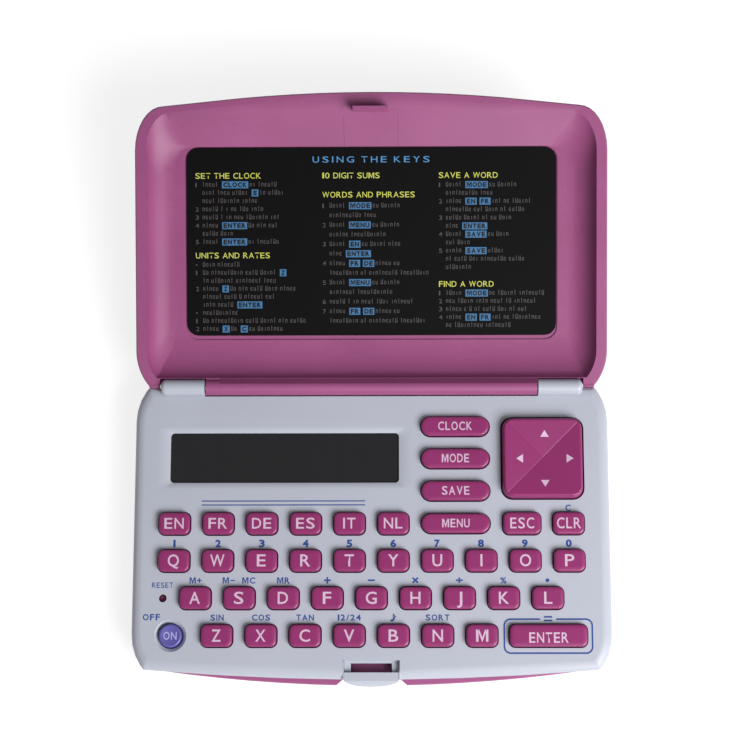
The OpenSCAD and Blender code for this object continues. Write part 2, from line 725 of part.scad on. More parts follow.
module key_on() color(violet) placed() translate([-on_x, row_y[3], 0]) {
    r = on_dia / 2;
    translate([0, 0, flange_z]) rotate_extrude() polygon(concat(
        [[0, 0], [r + flange_w, 0], [r + flange_w, flange_t], [r, flange_t]],
        arc(r - 0.5, base_h + 0.1 - flange_z, 0.5, 0, 90, 5), [[0, base_h + 0.5 - flange_z]]));
    translate([0, 0, post_z]) cylinder(r = post_r, h = post_h + 0.1);
}

module direction_pad() color(magenta) placed() translate([pad_x, upper_y]) {
    top = base_h + pad_rise;
    rim = pad_w / 2 - 0.9;
    difference() {
        union() {
            hull() for (s = [[pad_bottom_z, 0], [base_h - 0.3, 0], [top - 0.45, 0.28], [top - skin, 0.6]])
                block(pad_w - 2 * s[1], pad_w - 2 * s[1], pad_r - 0.3 * s[1], s[0], s[0] + skin);
            for (a = [0, 90]) rotate(a) translate([-pad_w / 2 - flange_w, -tab_w / 2, pad_bottom_z])
                cube([pad_w + 2 * flange_w, tab_w, tab_t]);
        }
        polyhedron(
            [[-rim, -rim, top + skin], [rim, -rim, top + skin], [rim, rim, top + skin],
             [-rim, rim, top + skin], [0, 0, top - pad_dish]],
            [[0, 1, 4], [1, 2, 4], [2, 3, 4], [3, 0, 4], [3, 2, 1, 0]]);
        translate([0, 0, pivot_z]) sphere(r = pivot_r + 0.1);
    }
}

// The nub that the pad rocks on
module pad_pivot() color(magenta) placed() translate([pad_x, upper_y]) {
    translate([0, 0, mat_top + 0.15]) rotate_extrude()
        polygon(concat([[0, 0], [pivot_r, 0]], arc(0, pivot_z - mat_top - 0.15, pivot_r, 0, 90, 12)));
}

module board_outline(inset) intersection() {
    plan(wall_t + board_side + inset, deck_d, deck_bow, cavity_back - 0.6 - inset);
    translate([-half_w, row_y[3] - 3.7 + inset]) square([case_w, deck_d]);
}

module screw_clear(bottom, h)
    for (p = screw_places) translate([p[0], p[1], bottom]) cylinder(r = foot_r + rib_gap, h = h);

module circuit_board() color("darkgreen") placed() difference() {
    translate([0, 0, board_z]) linear_extrude(board_t) board_outline(0);
    screw_clear(board_z - 1, board_t + 2);
}

// The mat lies under all the keys and leaves the display free
module key_mat() color(magenta) placed() {
    difference() {
        translate([0, 0, mat_z]) linear_extrude(mat_t) difference() {
            board_outline(0.5);
            translate([-half_w, window_y - lcd_d / 2 - rib_t - 2 * rib_gap])
                square([half_w - window_x + lcd_w / 2 + rib_t + 2 * rib_gap, deck_d]);
        }
        screw_clear(mat_z - 1, mat_t + 2);
    }
    for (key = KEYS) for (x = dome_places(key)) translate([key[1] + x, key[2]]) dome(dome_top);
    translate([-on_x, row_y[3]]) dome(dome_top);
    for (a = [0:90:270]) translate([pad_x, upper_y]) rotate(a) translate([pad_dome_x, 0]) dome(pad_bottom_z - 0.1);
    translate([-reset_x, row_y[2], mat_top - 0.1]) cylinder(d = reset_dia - 0.6, h = base_h - 1.1 - mat_top);
}

module dome(top) translate([0, 0, mat_top - 0.1]) cylinder(r1 = 2.3, r2 = 1.5, h = top - mat_top + 0.1);

module chip_cover() color(black) placed() translate([-chip_x, chip_y, board_z]) mirror([0, 0, 1])
    rotate_extrude() polygon(concat([[0, 0], [chip_r, 0]], arc(chip_r - 0.8, 0.15, 0.8, 0, 90, 5), [[0, 1.1]]));

module buzzer() color("goldenrod") placed() translate([-buzzer_x, buzzer_y, floor_t + seat]) {
    cylinder(d = buzzer_dia, h = 0.25);
    translate([0, 0, 0.25]) cylinder(d = buzzer_dia - 5, h = 0.2);
}

module coin_cells() color("silver") placed() for (s = [-1, 1])
    translate([bay_x, bay_y + s * cell_pitch / 2, cell_z]) {
        cylinder(d = cell_dia - 1.6, h = cell_t);
        translate([0, 0, 0.2]) cylinder(d = cell_dia, h = cell_t - 0.5);
    }

// A folded leaf over each cell, soldered to the board
module battery_contacts() color("gold") placed() for (s = [-1, 1])
    translate([bay_x - contact_l / 2, bay_y + (s * cell_pitch - contact_w) / 2, 0]) {
        low = cell_z + cell_t + seat;
        translate([0, 0, low]) cube([contact_l, contact_w, contact_t]);
        translate([0, 0, low]) cube([contact_t, contact_w, board_z - seat - low]);
        translate([0, 0, board_z - seat - contact_t]) cube([contact_l / 2, contact_w, contact_t]);
    }

module case_screws() color("silver") placed() for (p = screw_places) translate([p[0], p[1], 0])
    difference() {
        union() {
            translate([0, 0, sink_z - seat - head_t]) cylinder(r = head_r, h = head_t);
            translate([0, 0, sink_z - 0.5]) cylinder(r = screw_r, h = under_deck - sink_z - 0.5);
        }
        for (a = [0, 90]) rotate(a) translate([-slot_l / 2, -slot_t / 2, sink_z - seat - head_t - over])
            cube([slot_l, slot_t, over + 0.6]);
    }

upper_case();
lower_case();
lid_shell();
reference_card();
display_window();
latch_button();
latch_spring();
battery_cover();
hinge_pins();
key_on();
direction_pad();
pad_pivot();
key_mat();
circuit_board();
chip_cover();
lcd_glass();
zebra_strip();
buzzer();
coin_cells();
battery_contacts();
case_screws();
for (key = KEYS) key_cap(key);
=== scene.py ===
"""Handheld translator: moulded cases, keys, printing and light over the solid model.

Units in the settings are millimetres. The piece makers draw in millimetres with the hinge
axis over y = 0, as the solid model does, and place() moves what they draw into the frame.
"""

import json
import math

import bmesh
import bpy
from bmesh.types import BMFace, BMVert
from mathutils import Matrix, Vector
from mathutils.bvhtree import BVHTree


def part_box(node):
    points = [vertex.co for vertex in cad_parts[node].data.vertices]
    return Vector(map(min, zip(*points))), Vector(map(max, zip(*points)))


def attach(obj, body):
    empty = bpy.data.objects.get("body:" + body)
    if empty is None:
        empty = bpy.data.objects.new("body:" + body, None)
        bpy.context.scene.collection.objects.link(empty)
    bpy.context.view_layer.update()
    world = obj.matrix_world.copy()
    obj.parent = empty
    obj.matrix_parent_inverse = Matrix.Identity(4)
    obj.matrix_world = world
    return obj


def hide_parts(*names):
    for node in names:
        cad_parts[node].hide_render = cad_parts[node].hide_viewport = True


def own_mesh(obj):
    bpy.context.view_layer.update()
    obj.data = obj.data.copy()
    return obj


bl_info = {
    "name": "Handheld Translator",
    "version": (1, 0, 0),
    "blender": (4, 5, 0),
    "location": "3D View > Sidebar > Translator",
    "description": "Dresses the solid model of a handheld translator with moulded plastic, keys and printing",
    "category": "Object",
}

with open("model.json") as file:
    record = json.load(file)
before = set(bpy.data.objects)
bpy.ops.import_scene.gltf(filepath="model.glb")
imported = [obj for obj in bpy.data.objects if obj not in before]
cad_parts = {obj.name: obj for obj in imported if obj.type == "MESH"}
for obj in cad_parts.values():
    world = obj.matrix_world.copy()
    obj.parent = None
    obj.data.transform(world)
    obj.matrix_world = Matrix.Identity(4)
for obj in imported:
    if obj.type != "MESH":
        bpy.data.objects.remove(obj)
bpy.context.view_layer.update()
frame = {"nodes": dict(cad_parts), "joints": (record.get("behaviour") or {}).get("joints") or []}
MM = 0.001


def joint(name):
    """A joint's row in the frame."""
    return next(j for j in frame["joints"] if j["name"] == name)


OPEN_ANGLE = joint("lid_hinge")["range_deg"][1]
HINGE_Y, HINGE_Z = (v / MM for v in joint("lid_hinge")["pos_m"][1:])


def linear(code):
    """Linear RGB of an sRGB hex code."""
    channels = [int(code[i : i + 2], 16) / 255 for i in (1, 3, 5)]
    return [c / 12.92 if c <= 0.04045 else ((c + 0.055) / 1.055) ** 2.4 for c in channels]


def box(node):
    """Corners of a solid in millimetres, with the hinge axis over y = 0."""
    low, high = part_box(node)
    shift = Vector((0, HINGE_Y, 0))
    return low / MM - shift, high / MM - shift


def middle(node):
    """Middle of a solid seen from above."""
    low, high = box(node)
    return (low.x + high.x) / 2, (low.y + high.y) / 2


KEY_NODES = [
    n for n in frame["nodes"] if n.startswith(("key_", "pill_")) and n not in ("key_mat", "key_on")
]
FLANGE = 0.55  # how far a key's flange stands out round its cap
FLANGE_RISE = 0.6  # thickness of the flange
CAP_TOP = box("key_q")[1].z
DECK_Z = CAP_TOP - 1.6
FLANGE_Z = box("key_q")[0].z + 0.4  # a post stands out 0.4 mm under the flange


def colour_property(name, code, about):
    return bpy.props.FloatVectorProperty(
        name=name, description=about, subtype="COLOR", size=3, min=0.0, max=1.0, default=linear(code)
    )


def length_property(name, value, about, low=0.0, high=50.0):
    about += ", in millimetres"
    return bpy.props.FloatProperty(name=name, description=about, default=value, min=low, max=high)


class TranslatorColours(bpy.types.PropertyGroup):
    shell: colour_property("Pink mouldings", "#964A7A", "Colour of the lid and the lower case")
    deck: colour_property("Deck", "#B2B6C2", "Colour of the deck and the latch button")
    caps: colour_property("Key caps", "#8C2A66", "Colour of the keys and the direction pad")
    on_key: colour_property("ON key", "#5E58A4", "Colour of the round ON key")
    legend: colour_property("Key legends", "#CFB2C9", "Ink on the keys")
    deck_ink: colour_property("Deck printing", "#23438C", "Ink on the deck")
    window: colour_property("Display window", "#212123", "Colour of the tinted window")
    film: colour_property("Reference card", "#070608", "Ground colour of the reference card")


class TranslatorSizes(bpy.types.PropertyGroup):
    cap_edge: length_property("Cap edge", 0.5, "Rounding round the top of a key", 0.1, 0.9)
    cap_crown: length_property("Cap crown", 0.07, "Rise of a key's top towards its middle", 0.0, 0.3)
    case_edge: length_property("Case edge", 0.16, "Rounding of the moulded edges of the cases", 0.02, 0.4)
    ink: length_property("Ink", 0.012, "Height of the printing above its ground", 0.002, 0.05)
    shell_grain: length_property("Case grain", 0.5, "Size of the grain on the pink cases", 0.1, 2.0)
    deck_grain: length_property("Deck grain", 0.4, "Size of the grain on the deck", 0.1, 2.0)


class TranslatorStudio(bpy.types.PropertyGroup):
    key_power: bpy.props.FloatProperty(
        name="Key light",
        description="Power of the softbox at the front right",
        subtype="POWER",
        unit="POWER",
        default=7.5,
        min=0.0,
    )
    fill: bpy.props.FloatProperty(
        name="Fill", description="Strength of the light from all round", default=0.24, min=0.0
    )


# -------- materials


def add(tree, kind, settings=None, links=None):
    """Adds a shader node, sets its properties or sockets, and links its inputs."""
    node = tree.nodes.new(kind)
    for name, value in (settings or {}).items():
        if name in node.bl_rna.properties:
            setattr(node, name, value)
        else:
            node.inputs[name].default_value = value
    for name, socket in (links or {}).items():
        tree.links.new(socket, node.inputs[name])
    return node


def blank(name):
    """A material with its output, ready for a surface."""
    material = bpy.data.materials.new(name)
    material.use_nodes = True
    material.node_tree.nodes.clear()
    return material, material.node_tree, material.node_tree.nodes.new("ShaderNodeOutputMaterial")


def around_one(spread):
    """Settings that spread the middle of a noise evenly below and above 1."""
    return {"To Min": 1 - spread, "To Max": 1 + spread, "From Min": 0.3, "From Max": 0.7}


def moulded(name, colour, roughness, grain, depth, mottle=0.05, specular=0.5):
    """Moulded plastic. The tool's spark-eroded face leaves a fine pebble that breaks the highlights up,
    and the flow of the melt leaves a faint, broad change of tone."""
    material, tree, out = blank(name)
    coords = add(tree, "ShaderNodeTexCoord").outputs["Object"]
    # Cells of the grain, drawn at about twice their real size so that they show
    pebble = add(
        tree,
        "ShaderNodeTexNoise",
        {"Scale": 1 / (grain * MM), "Detail": 3.0, "Roughness": 0.6},
        {"Vector": coords},
    ).outputs["Fac"]
    flow = add(tree, "ShaderNodeTexNoise", {"Scale": 1 / (18 * MM), "Detail": 2.0}, {"Vector": coords})
    tone = add(tree, "ShaderNodeMapRange", around_one(mottle), {"Value": flow.outputs["Fac"]})
    speck = add(tree, "ShaderNodeMapRange", around_one(mottle), {"Value": pebble})
    both = add(tree, "ShaderNodeMath", {"operation": "MULTIPLY"})
    tree.links.new(tone.outputs["Result"], both.inputs[0])
    tree.links.new(speck.outputs["Result"], both.inputs[1])
    tint = add(tree, "ShaderNodeVectorMath", {"operation": "SCALE"}, {"Scale": both.outputs["Value"]})
    tint.inputs[0].default_value = colour
    gloss = {"To Min": roughness - 0.06, "To Max": roughness + 0.06}
    shine = add(tree, "ShaderNodeMapRange", gloss, {"Value": pebble})
    bump = add(tree, "ShaderNodeBump", {"Strength": 0.35, "Distance": depth * MM}, {"Height": pebble})
    surface = add(
        tree,
        "ShaderNodeBsdfPrincipled",
        {"IOR": 1.53, "Specular IOR Level": specular},
        {"Base Color": tint.outputs[0], "Roughness": shine.outputs[0], "Normal": bump.outputs[0]},
    )
    tree.links.new(surface.outputs["BSDF"], out.inputs["Surface"])
    return material


def printed(name, colour, roughness=0.5, break_up=0.06):
    """Pad-printed ink: flat, slightly uneven where the pad lifted off."""
    material, tree, out = blank(name)
    coords = add(tree, "ShaderNodeTexCoord").outputs["Object"]
    lift = add(tree, "ShaderNodeTexNoise", {"Scale": 1 / (0.6 * MM), "Detail": 2.0}, {"Vector": coords})
    fade = add(tree, "ShaderNodeMapRange", around_one(break_up), {"Value": lift.outputs["Fac"]})
    tint = add(tree, "ShaderNodeVectorMath", {"operation": "SCALE"}, {"Scale": fade.outputs["Result"]})
    tint.inputs[0].default_value = colour
    look = {"IOR": 1.5, "Roughness": roughness}
    surface = add(tree, "ShaderNodeBsdfPrincipled", look, {"Base Color": tint.outputs["Vector"]})
    tree.links.new(surface.outputs["BSDF"], out.inputs["Surface"])
    return material


def polished(name, colour, roughness=0.08, scuff=0.04, ior=1.49, specular=0.5):
    """A smooth, glossy face with faint wiping marks in its gloss."""
    material, tree, out = blank(name)
    coords = add(tree, "ShaderNodeTexCoord").outputs["Object"]
    # The marks run slantwise, five times as long as they are wide
    slant = {"Scale": (1.0, 0.2, 1.0), "Rotation": (0, 0, 0.5)}
    stretch = add(tree, "ShaderNodeMapping", slant, {"Vector": coords}).outputs["Vector"]
    wipe = add(tree, "ShaderNodeTexNoise", {"Scale": 1 / (2.5 * MM), "Detail": 4.0}, {"Vector": stretch})
    marks = wipe.outputs["Fac"]
    gloss = {"To Min": roughness, "To Max": roughness + scuff}
    shine = add(tree, "ShaderNodeMapRange", gloss, {"Value": marks})
    tone = add(tree, "ShaderNodeMapRange", {"To Min": 0.9, "To Max": 1.1}, {"Value": marks})
    tint = add(tree, "ShaderNodeVectorMath", {"operation": "SCALE"}, {"Scale": tone.outputs["Result"]})
    tint.inputs[0].default_value = colour
    surface = add(
        tree,
        "ShaderNodeBsdfPrincipled",
        {"IOR": ior, "Specular IOR Level": specular},
        {"Base Color": tint.outputs["Vector"], "Roughness": shine.outputs["Result"]},
    )
    tree.links.new(surface.outputs["BSDF"], out.inputs["Surface"])
    return material


def metal(name, colour, roughness, line_mm, turned=False):
    """Bare metal, with the fine lines of its drawing, rolling or turning in its gloss."""
    material, tree, out = blank(name)
    coords = add(tree, "ShaderNodeTexCoord").outputs["Object"]
    along = {"Scale": (1.0, 1.0, 0.05) if turned else (0.05, 1.0, 1.0)}
    stretch = add(tree, "ShaderNodeMapping", along, {"Vector": coords}).outputs["Vector"]
    fine = {"Scale": 1 / (line_mm * MM), "Detail": 3.0}
    lines = add(tree, "ShaderNodeTexNoise", fine, {"Vector": stretch}).outputs["Fac"]
    gloss = {"To Min": roughness - 0.08, "To Max": roughness + 0.1}
    shine = add(tree, "ShaderNodeMapRange", gloss, {"Value": lines})
    bump = add(tree, "ShaderNodeBump", {"Strength": 0.2, "Distance": 0.01 * MM}, {"Height": lines})
    surface = add(
        tree,
        "ShaderNodeBsdfPrincipled",
        {"Base Color": (*colour, 1.0), "Metallic": 1.0},
        {"Roughness": shine.outputs["Result"], "Normal": bump.outputs["Normal"]},
    )
    tree.links.new(surface.outputs["BSDF"], out.inputs["Surface"])
    return material


def finishes(colours, sizes):
    """Each finish as its maker and what the maker is given: name, colour, roughness and the rest."""
    return {
        # Pebbled by the tool, so its highlights are broad and broken
        "shell ABS": (moulded, "Housing ABS, spark-eroded", colours.shell, 0.5, sizes.shell_grain, 0.03),
        # Where the tool's slide met the dish: a line of painted shade with a line of painted highlight beside
        # it, standing in for the shade and the lit edge of the slide's small step
        "shell painted shade": (printed, "Housing ABS, witness line", [c * 0.6 for c in colours.shell]),
        "shell painted highlight": (printed, "Housing ABS, witness edge", [c * 1.25 for c in colours.shell]),
        # A finer grain than the cases, which gives the deck its even, silky sheen
        "deck ABS": (moulded, "Deck ABS, satin", colours.deck, 0.42, sizes.deck_grain, 0.012, 0.015),
        # Satin caps catch a soft light along their rounded edges
        "cap ABS": (moulded, "Key cap ABS, satin", colours.caps, 0.34, 0.3, 0.008, 0.03),
        "ON cap ABS": (moulded, "ON cap ABS, satin", colours.on_key, 0.34, 0.3, 0.008, 0.03),
        # Matt and dull, as rubber is beside the hard caps
        "silicone": (moulded, "Key mat silicone", linear("#7A2450"), 0.6, 0.8, 0.01, 0.05, 0.4),
        "zebra rubber": (moulded, "Connector rubber", linear("#3A3A3E"), 0.6, 0.4, 0.01),
        # Flat inks without gloss of their own
        "legend ink": (printed, "Legend ink", colours.legend),
        "ON ink": (printed, "ON ink", linear("#A9A9D4")),
        "deck ink": (printed, "Deck ink", colours.deck_ink),
        "heading ink": (printed, "Heading ink", linear("#C6CA58")),
        "title ink": (printed, "Title ink", linear("#4E8CC0")),
        "chip ink": (printed, "Chip ink", linear("#3A719F")),
        "film ink": (printed, "Film seen through the chips", colours.film),
        # The small print breaks up more, and reads as grey
        "text ink": (printed, "Text ink", linear("#4A4547"), 0.6, 0.15),
        # Dark and clear, with a soft reflection over the display
        "window acrylic": (polished, "Window acrylic, tinted", colours.window, 0.2, 0.06, 1.49, 0.4),
        # A dull black film that reflects very little
        "card film": (polished, "Card film, printed", colours.film, 0.5, 0.1, 1.5, 0.12),
        # Glossy grey-green glass, a glossy black drop and a glossy green board
        "display glass": (polished, "Display glass", linear("#7C8A72"), 0.1, 0.03, 1.52),
        "resin": (polished, "Chip resin", linear("#0C0C0D"), 0.3, 0.1),
        "solder mask": (polished, "Solder mask", linear("#1D5B34"), 0.3, 0.08),
        # Lines of the wire's drawing and of the turning tool stretch the highlights
        "drawn steel": (metal, "Drawn steel", linear("#B9BABD"), 0.3, 0.05),
        "turned steel": (metal, "Turned steel, nickelled", linear("#B4B4B6"), 0.32, 0.06, True),
        # Pressed and rolled sheet, with coarser lines
        "cell can": (metal, "Cell can, pressed", linear("#C4C4C2"), 0.28, 0.1),
        "contact bronze": (metal, "Contact bronze", linear("#C9A560"), 0.3, 0.08),
        "brass": (metal, "Rolled brass", linear("#C8A24C"), 0.3, 0.1),
    }


FINISHES = {}


def finish(name):
    """The finish of that name, made when it is first asked for."""
    if name not in FINISHES:
        scene = bpy.context.scene
        maker, *settings = finishes(scene.translator_colours, scene.translator_sizes)[name]
        FINISHES[name] = maker(*settings)
    return FINISHES[name]


# -------- modelling helpers


def place(mesh, opened=False):
    """Moves a mesh from millimetres over the hinge axis into the frame; opened also turns it up with
    the lid."""
    if opened:
        axis = Matrix.Translation((0, 0, HINGE_Z))
        mesh.transform(axis @ Matrix.Rotation(math.radians(-OPEN_ANGLE), 4, "X") @ axis.inverted())
    mesh.transform(Matrix.Scale(MM, 4) @ Matrix.Translation((0, HINGE_Y, 0)))


def piece(name, source, material, body, replaced=(), opened=False, sharp=32.0, placed=False):
    """Makes an object of a bmesh, and says what it rides on and stands for."""
    mesh = bpy.data.meshes.new(name)
    source.to_mesh(mesh)
    source.free()
    if not placed:
        place(mesh, opened)
    mesh.materials.append(finish(material))
    mesh.shade_smooth()
    mesh.set_sharp_from_angle(angle=math.radians(sharp))
    made = bpy.data.objects.new(name, mesh)
    bpy.context.scene.collection.objects.link(made)
    even = made.modifiers.new("Even shading", "WEIGHTED_NORMAL")
    even.keep_sharp = True
    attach(made, body)
    if replaced:
        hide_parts(*replaced)
    return made


def only(kind, geom):
    """The vertices or the faces out of what an operator gives back."""
    return [item for item in geom if isinstance(item, kind)]


def face_out(bm):
    bmesh.ops.recalc_face_normals(bm, faces=bm.faces)


def plate(bm, width, depth, radius, z, x=0.0, y=0.0, segments=6):
    """A flat face with round corners: a circle with its quarters drawn apart."""
    turned = Matrix.Rotation(math.pi / (4 * segments), 4, "Z")
    circle = bmesh.ops.create_circle(bm, cap_ends=True, segments=4 * segments, radius=radius, matrix=turned)
    ring = circle["verts"]
    for vert in ring:
        vert.co.x += math.copysign(width / 2 - radius, vert.co.x)
        vert.co.y += math.copysign(depth / 2 - radius, vert.co.y)
    bmesh.ops.translate(bm, vec=(x, y, z), verts=ring)
    return ring[0].link_faces[0]


def raise_face(bm, face, height):
    """Extrudes a face straight up and returns its new top."""
    top = bmesh.ops.extrude_face_region(bm, geom=[face])["geom"]
    bmesh.ops.translate(bm, vec=(0, 0, height), verts=only(BMVert, top))
    return only(BMFace, top)[0]


def step_in(bm, face, width, height):
    """Insets a face evenly, and lifts what is inside."""
    bmesh.ops.inset_region(bm, faces=[face], thickness=width, use_even_offset=True)
    bmesh.ops.translate(bm, vec=(0, 0, height), verts=face.verts)


def rounded_top(bm, face, radius, steps=5):
    """Rounds the edge of a raised face over a quarter circle."""
    for i in range(steps):
        a, b = (math.pi / 2 * k / steps for k in (i, i + 1))
        step_in(bm, face, radius * (math.cos(a) - math.cos(b)), radius * (math.sin(b) - math.sin(a)))


HOLLOW_WALL = 1.0
HOLLOW_DEPTH = 0.7


def hollow(bm, depth=HOLLOW_DEPTH):
    """Hollows the flat underside of a cap, so that the dome under it has room when the key is down."""
    floor = min(v.co.z for v in bm.verts)
    under = [f for f in bm.faces if all(v.co.z < floor + 0.01 for v in f.verts)]
    bmesh.ops.inset_region(bm, faces=under, thickness=HOLLOW_WALL, use_even_offset=True)
    bmesh.ops.translate(bm, vec=(0, 0, depth), verts=list({v for f in under for v in f.verts}))


def round_edges(bm, edges, width, segments=2):
    """Rounds edges evenly, and returns what that made."""
    even = {"offset_type": "OFFSET", "profile": 0.5, "clamp_overlap": True, "material": -1}
    return bmesh.ops.bevel(bm, geom=edges, affect="EDGES", offset=width, segments=segments, **even)


def merged(node):
    """A copy of a solid in millimetres, with its triangles merged into faces."""
    bm = bmesh.new()
    bm.from_mesh(frame["nodes"][node].data)
    bmesh.ops.scale(bm, vec=(1 / MM,) * 3, verts=bm.verts)
    bmesh.ops.remove_doubles(bm, verts=bm.verts, dist=0.002)
    bmesh.ops.dissolve_degenerate(bm, edges=bm.edges, dist=0.002)
    bmesh.ops.dissolve_limit(
        bm, angle_limit=math.radians(0.8), verts=bm.verts, edges=bm.edges, use_dissolve_boundaries=False
    )
    return bm


def softened(node, edge):
    """A copy of a solid in the frame, with its moulded edges rounded."""
    bm = merged(node)
    corner = math.radians(30.0)
    round_edges(bm, [e for e in bm.edges if e.is_manifold and abs(e.calc_face_angle(0)) > corner], edge)
    bmesh.ops.scale(bm, vec=(MM,) * 3, verts=bm.verts)
    return bm


def soft_piece(name, node, material, body, edge):
    return piece(name, softened(node, edge), material, body, (node,), placed=True)


# Widths of the characters, as shares of a capital's height
LETTER_WIDTHS = {
    "A": 0.9, "B": 0.8, "C": 0.88, "D": 0.86, "E": 0.74, "F": 0.7, "G": 0.92, "H": 0.84, "I": 0.17,
    "J": 0.44, "K": 0.84, "L": 0.68, "M": 1.02, "N": 0.86, "O": 0.94, "P": 0.78, "Q": 0.94, "R": 0.84,
    "S": 0.8, "T": 0.78, "U": 0.82, "V": 0.86, "W": 1.2, "X": 0.86, "Y": 0.86, "Z": 0.76, "0": 0.8,
    "1": 0.3, "2": 0.74, "3": 0.76, "4": 0.8, "5": 0.76, "6": 0.78, "7": 0.74, "8": 0.8, "9": 0.78,
    "♪": 0.8,
}  # fmt: skip
FACE_CAP = 0.682  # height of a capital in the built-in face at size 1
INK_FILM = 0.012  # thickness of a layer of ink
# Two stems and a V make the M, which the face draws too wide: part, its start and its share of the width
M_PARTS = (("I", 0.0, 0.2), ("V", 0.12, 0.76), ("I", 0.8, 0.2))


def glyph(letters, weight):
    """A flat mesh of the plain built-in face, one unit thick."""
    curve = bpy.data.curves.new("line", "FONT")
    curve.body = letters
    curve.offset = weight
    curve.extrude = 0.5
    curve.resolution_u = 3
    holder = bpy.data.objects.new("line", curve)
    bpy.context.scene.collection.objects.link(holder)
    mesh = bpy.data.meshes.new_from_object(holder.evaluated_get(bpy.context.evaluated_depsgraph_get()))
    bpy.data.objects.remove(holder)
    bpy.data.curves.remove(curve)
    return mesh


def lettering(text, cap, width=None, weight=0.02, gap=0.2):
    """One line of letters, with its middle at the origin: cap is the height of a capital, in
    millimetres, and gap the space between two letters as a share of it."""
    size = cap / (FACE_CAP + 2 * weight)
    bm = bmesh.new()
    pen = 0.0
    for letter in text:
        if letter == " ":
            pen += 0.5 * cap
            continue
        parts = M_PARTS if letter == "M" else ((letter, 0.0, 1.0),)
        for part, start, share in parts:
            mesh = glyph(part, weight)
            xs = [v.co.x for v in mesh.vertices]
            across = max(xs) - min(xs)
            # A sign that isn't in the table is drawn a little wider than in the face
            wide = LETTER_WIDTHS.get(letter, across / 0.72 * 1.05) * cap
            stretch = wide * share / across
            mesh.transform(
                Matrix.Translation((pen + start * wide, 0, 0))
                @ Matrix.Diagonal((stretch, size, INK_FILM, 1))
                @ Matrix.Translation((-min(xs), -FACE_CAP / 2, 0))
            )
            bm.from_mesh(mesh)
            bpy.data.meshes.remove(mesh)
        pen += wide + gap * cap
    pen -= gap * cap
    bmesh.ops.translate(bm, vec=(-pen / 2, 0, 0), verts=bm.verts)
    if width is not None:
        bmesh.ops.scale(bm, vec=(width / pen, 1, 1), verts=bm.verts)
    mesh = bpy.data.meshes.new("line")
    bm.to_mesh(mesh)
    bm.free()
    return mesh


def join(bm, mesh, x, y, z):
    """Adds a small mesh to a bmesh at a place, and frees it."""
    mesh.transform(Matrix.Translation((x, y, z)))
    bm.from_mesh(mesh)
    bpy.data.meshes.remove(mesh)


# -------- cases


class TRANSLATOR_OT_cases(bpy.types.Operator):
    """Upper case, lower case, battery cover and latch button, with their moulded edges rounded"""

    bl_idname = "translator.cases"
    bl_label = "Cases"

    def execute(self, context):
        edge = context.scene.translator_sizes.case_edge
        soft_piece("deck_moulding", "upper_case", "deck ABS", "base", edge)
        soft_piece("base_moulding", "lower_case", "shell ABS", "base", edge)
        soft_piece("battery_door", "battery_cover", "shell ABS", "cover", edge)
        soft_piece("release_button", "latch_button", "deck ABS", "latch", edge)
        self.latch_well()
        self.spring()
        return {"FINISHED"}

    def spring(self):
        """The latch button's spring, on a mesh of its own; the real spring shortens as the button goes in."""
        bm = bmesh.new()
        bm.from_mesh(frame["nodes"]["latch_spring"].data)
        bmesh.ops.remove_doubles(bm, verts=bm.verts, dist=0.000001)
        made = piece(
            "return_spring", bm, "drawn steel", "base", ("latch_spring",), sharp=60.0, placed=True
        )
        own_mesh(made)

    def latch_well(self):
        """Floor under the hook's slot, and the guide ribs at the sides of the notch."""
        high = box("latch_button")[1]
        slot_back = high.y - 1.6
        bm = bmesh.new()
        y, z = slot_back - 1.25, DECK_Z - 4.7
        face = plate(bm, width=9.8, depth=3.3, radius=0.3, z=z, y=y, segments=3)
        rounded_top(bm, raise_face(bm, face, 0.35), 0.15, 2)
        face_out(bm)
        piece("hook_floor", bm, "shell ABS", "base")
        bm = bmesh.new()
        for side in (-1, 1):
            x, y, z = side * (high.x + 0.18), slot_back - 1.7, DECK_Z - 2.4
            face = plate(bm, width=0.24, depth=4.6, radius=0.05, z=z, x=x, y=y, segments=2)
            rounded_top(bm, raise_face(bm, face, 2.1), 0.04, 2)
        face_out(bm)
        piece("notch_ribs", bm, "deck ABS", "base")


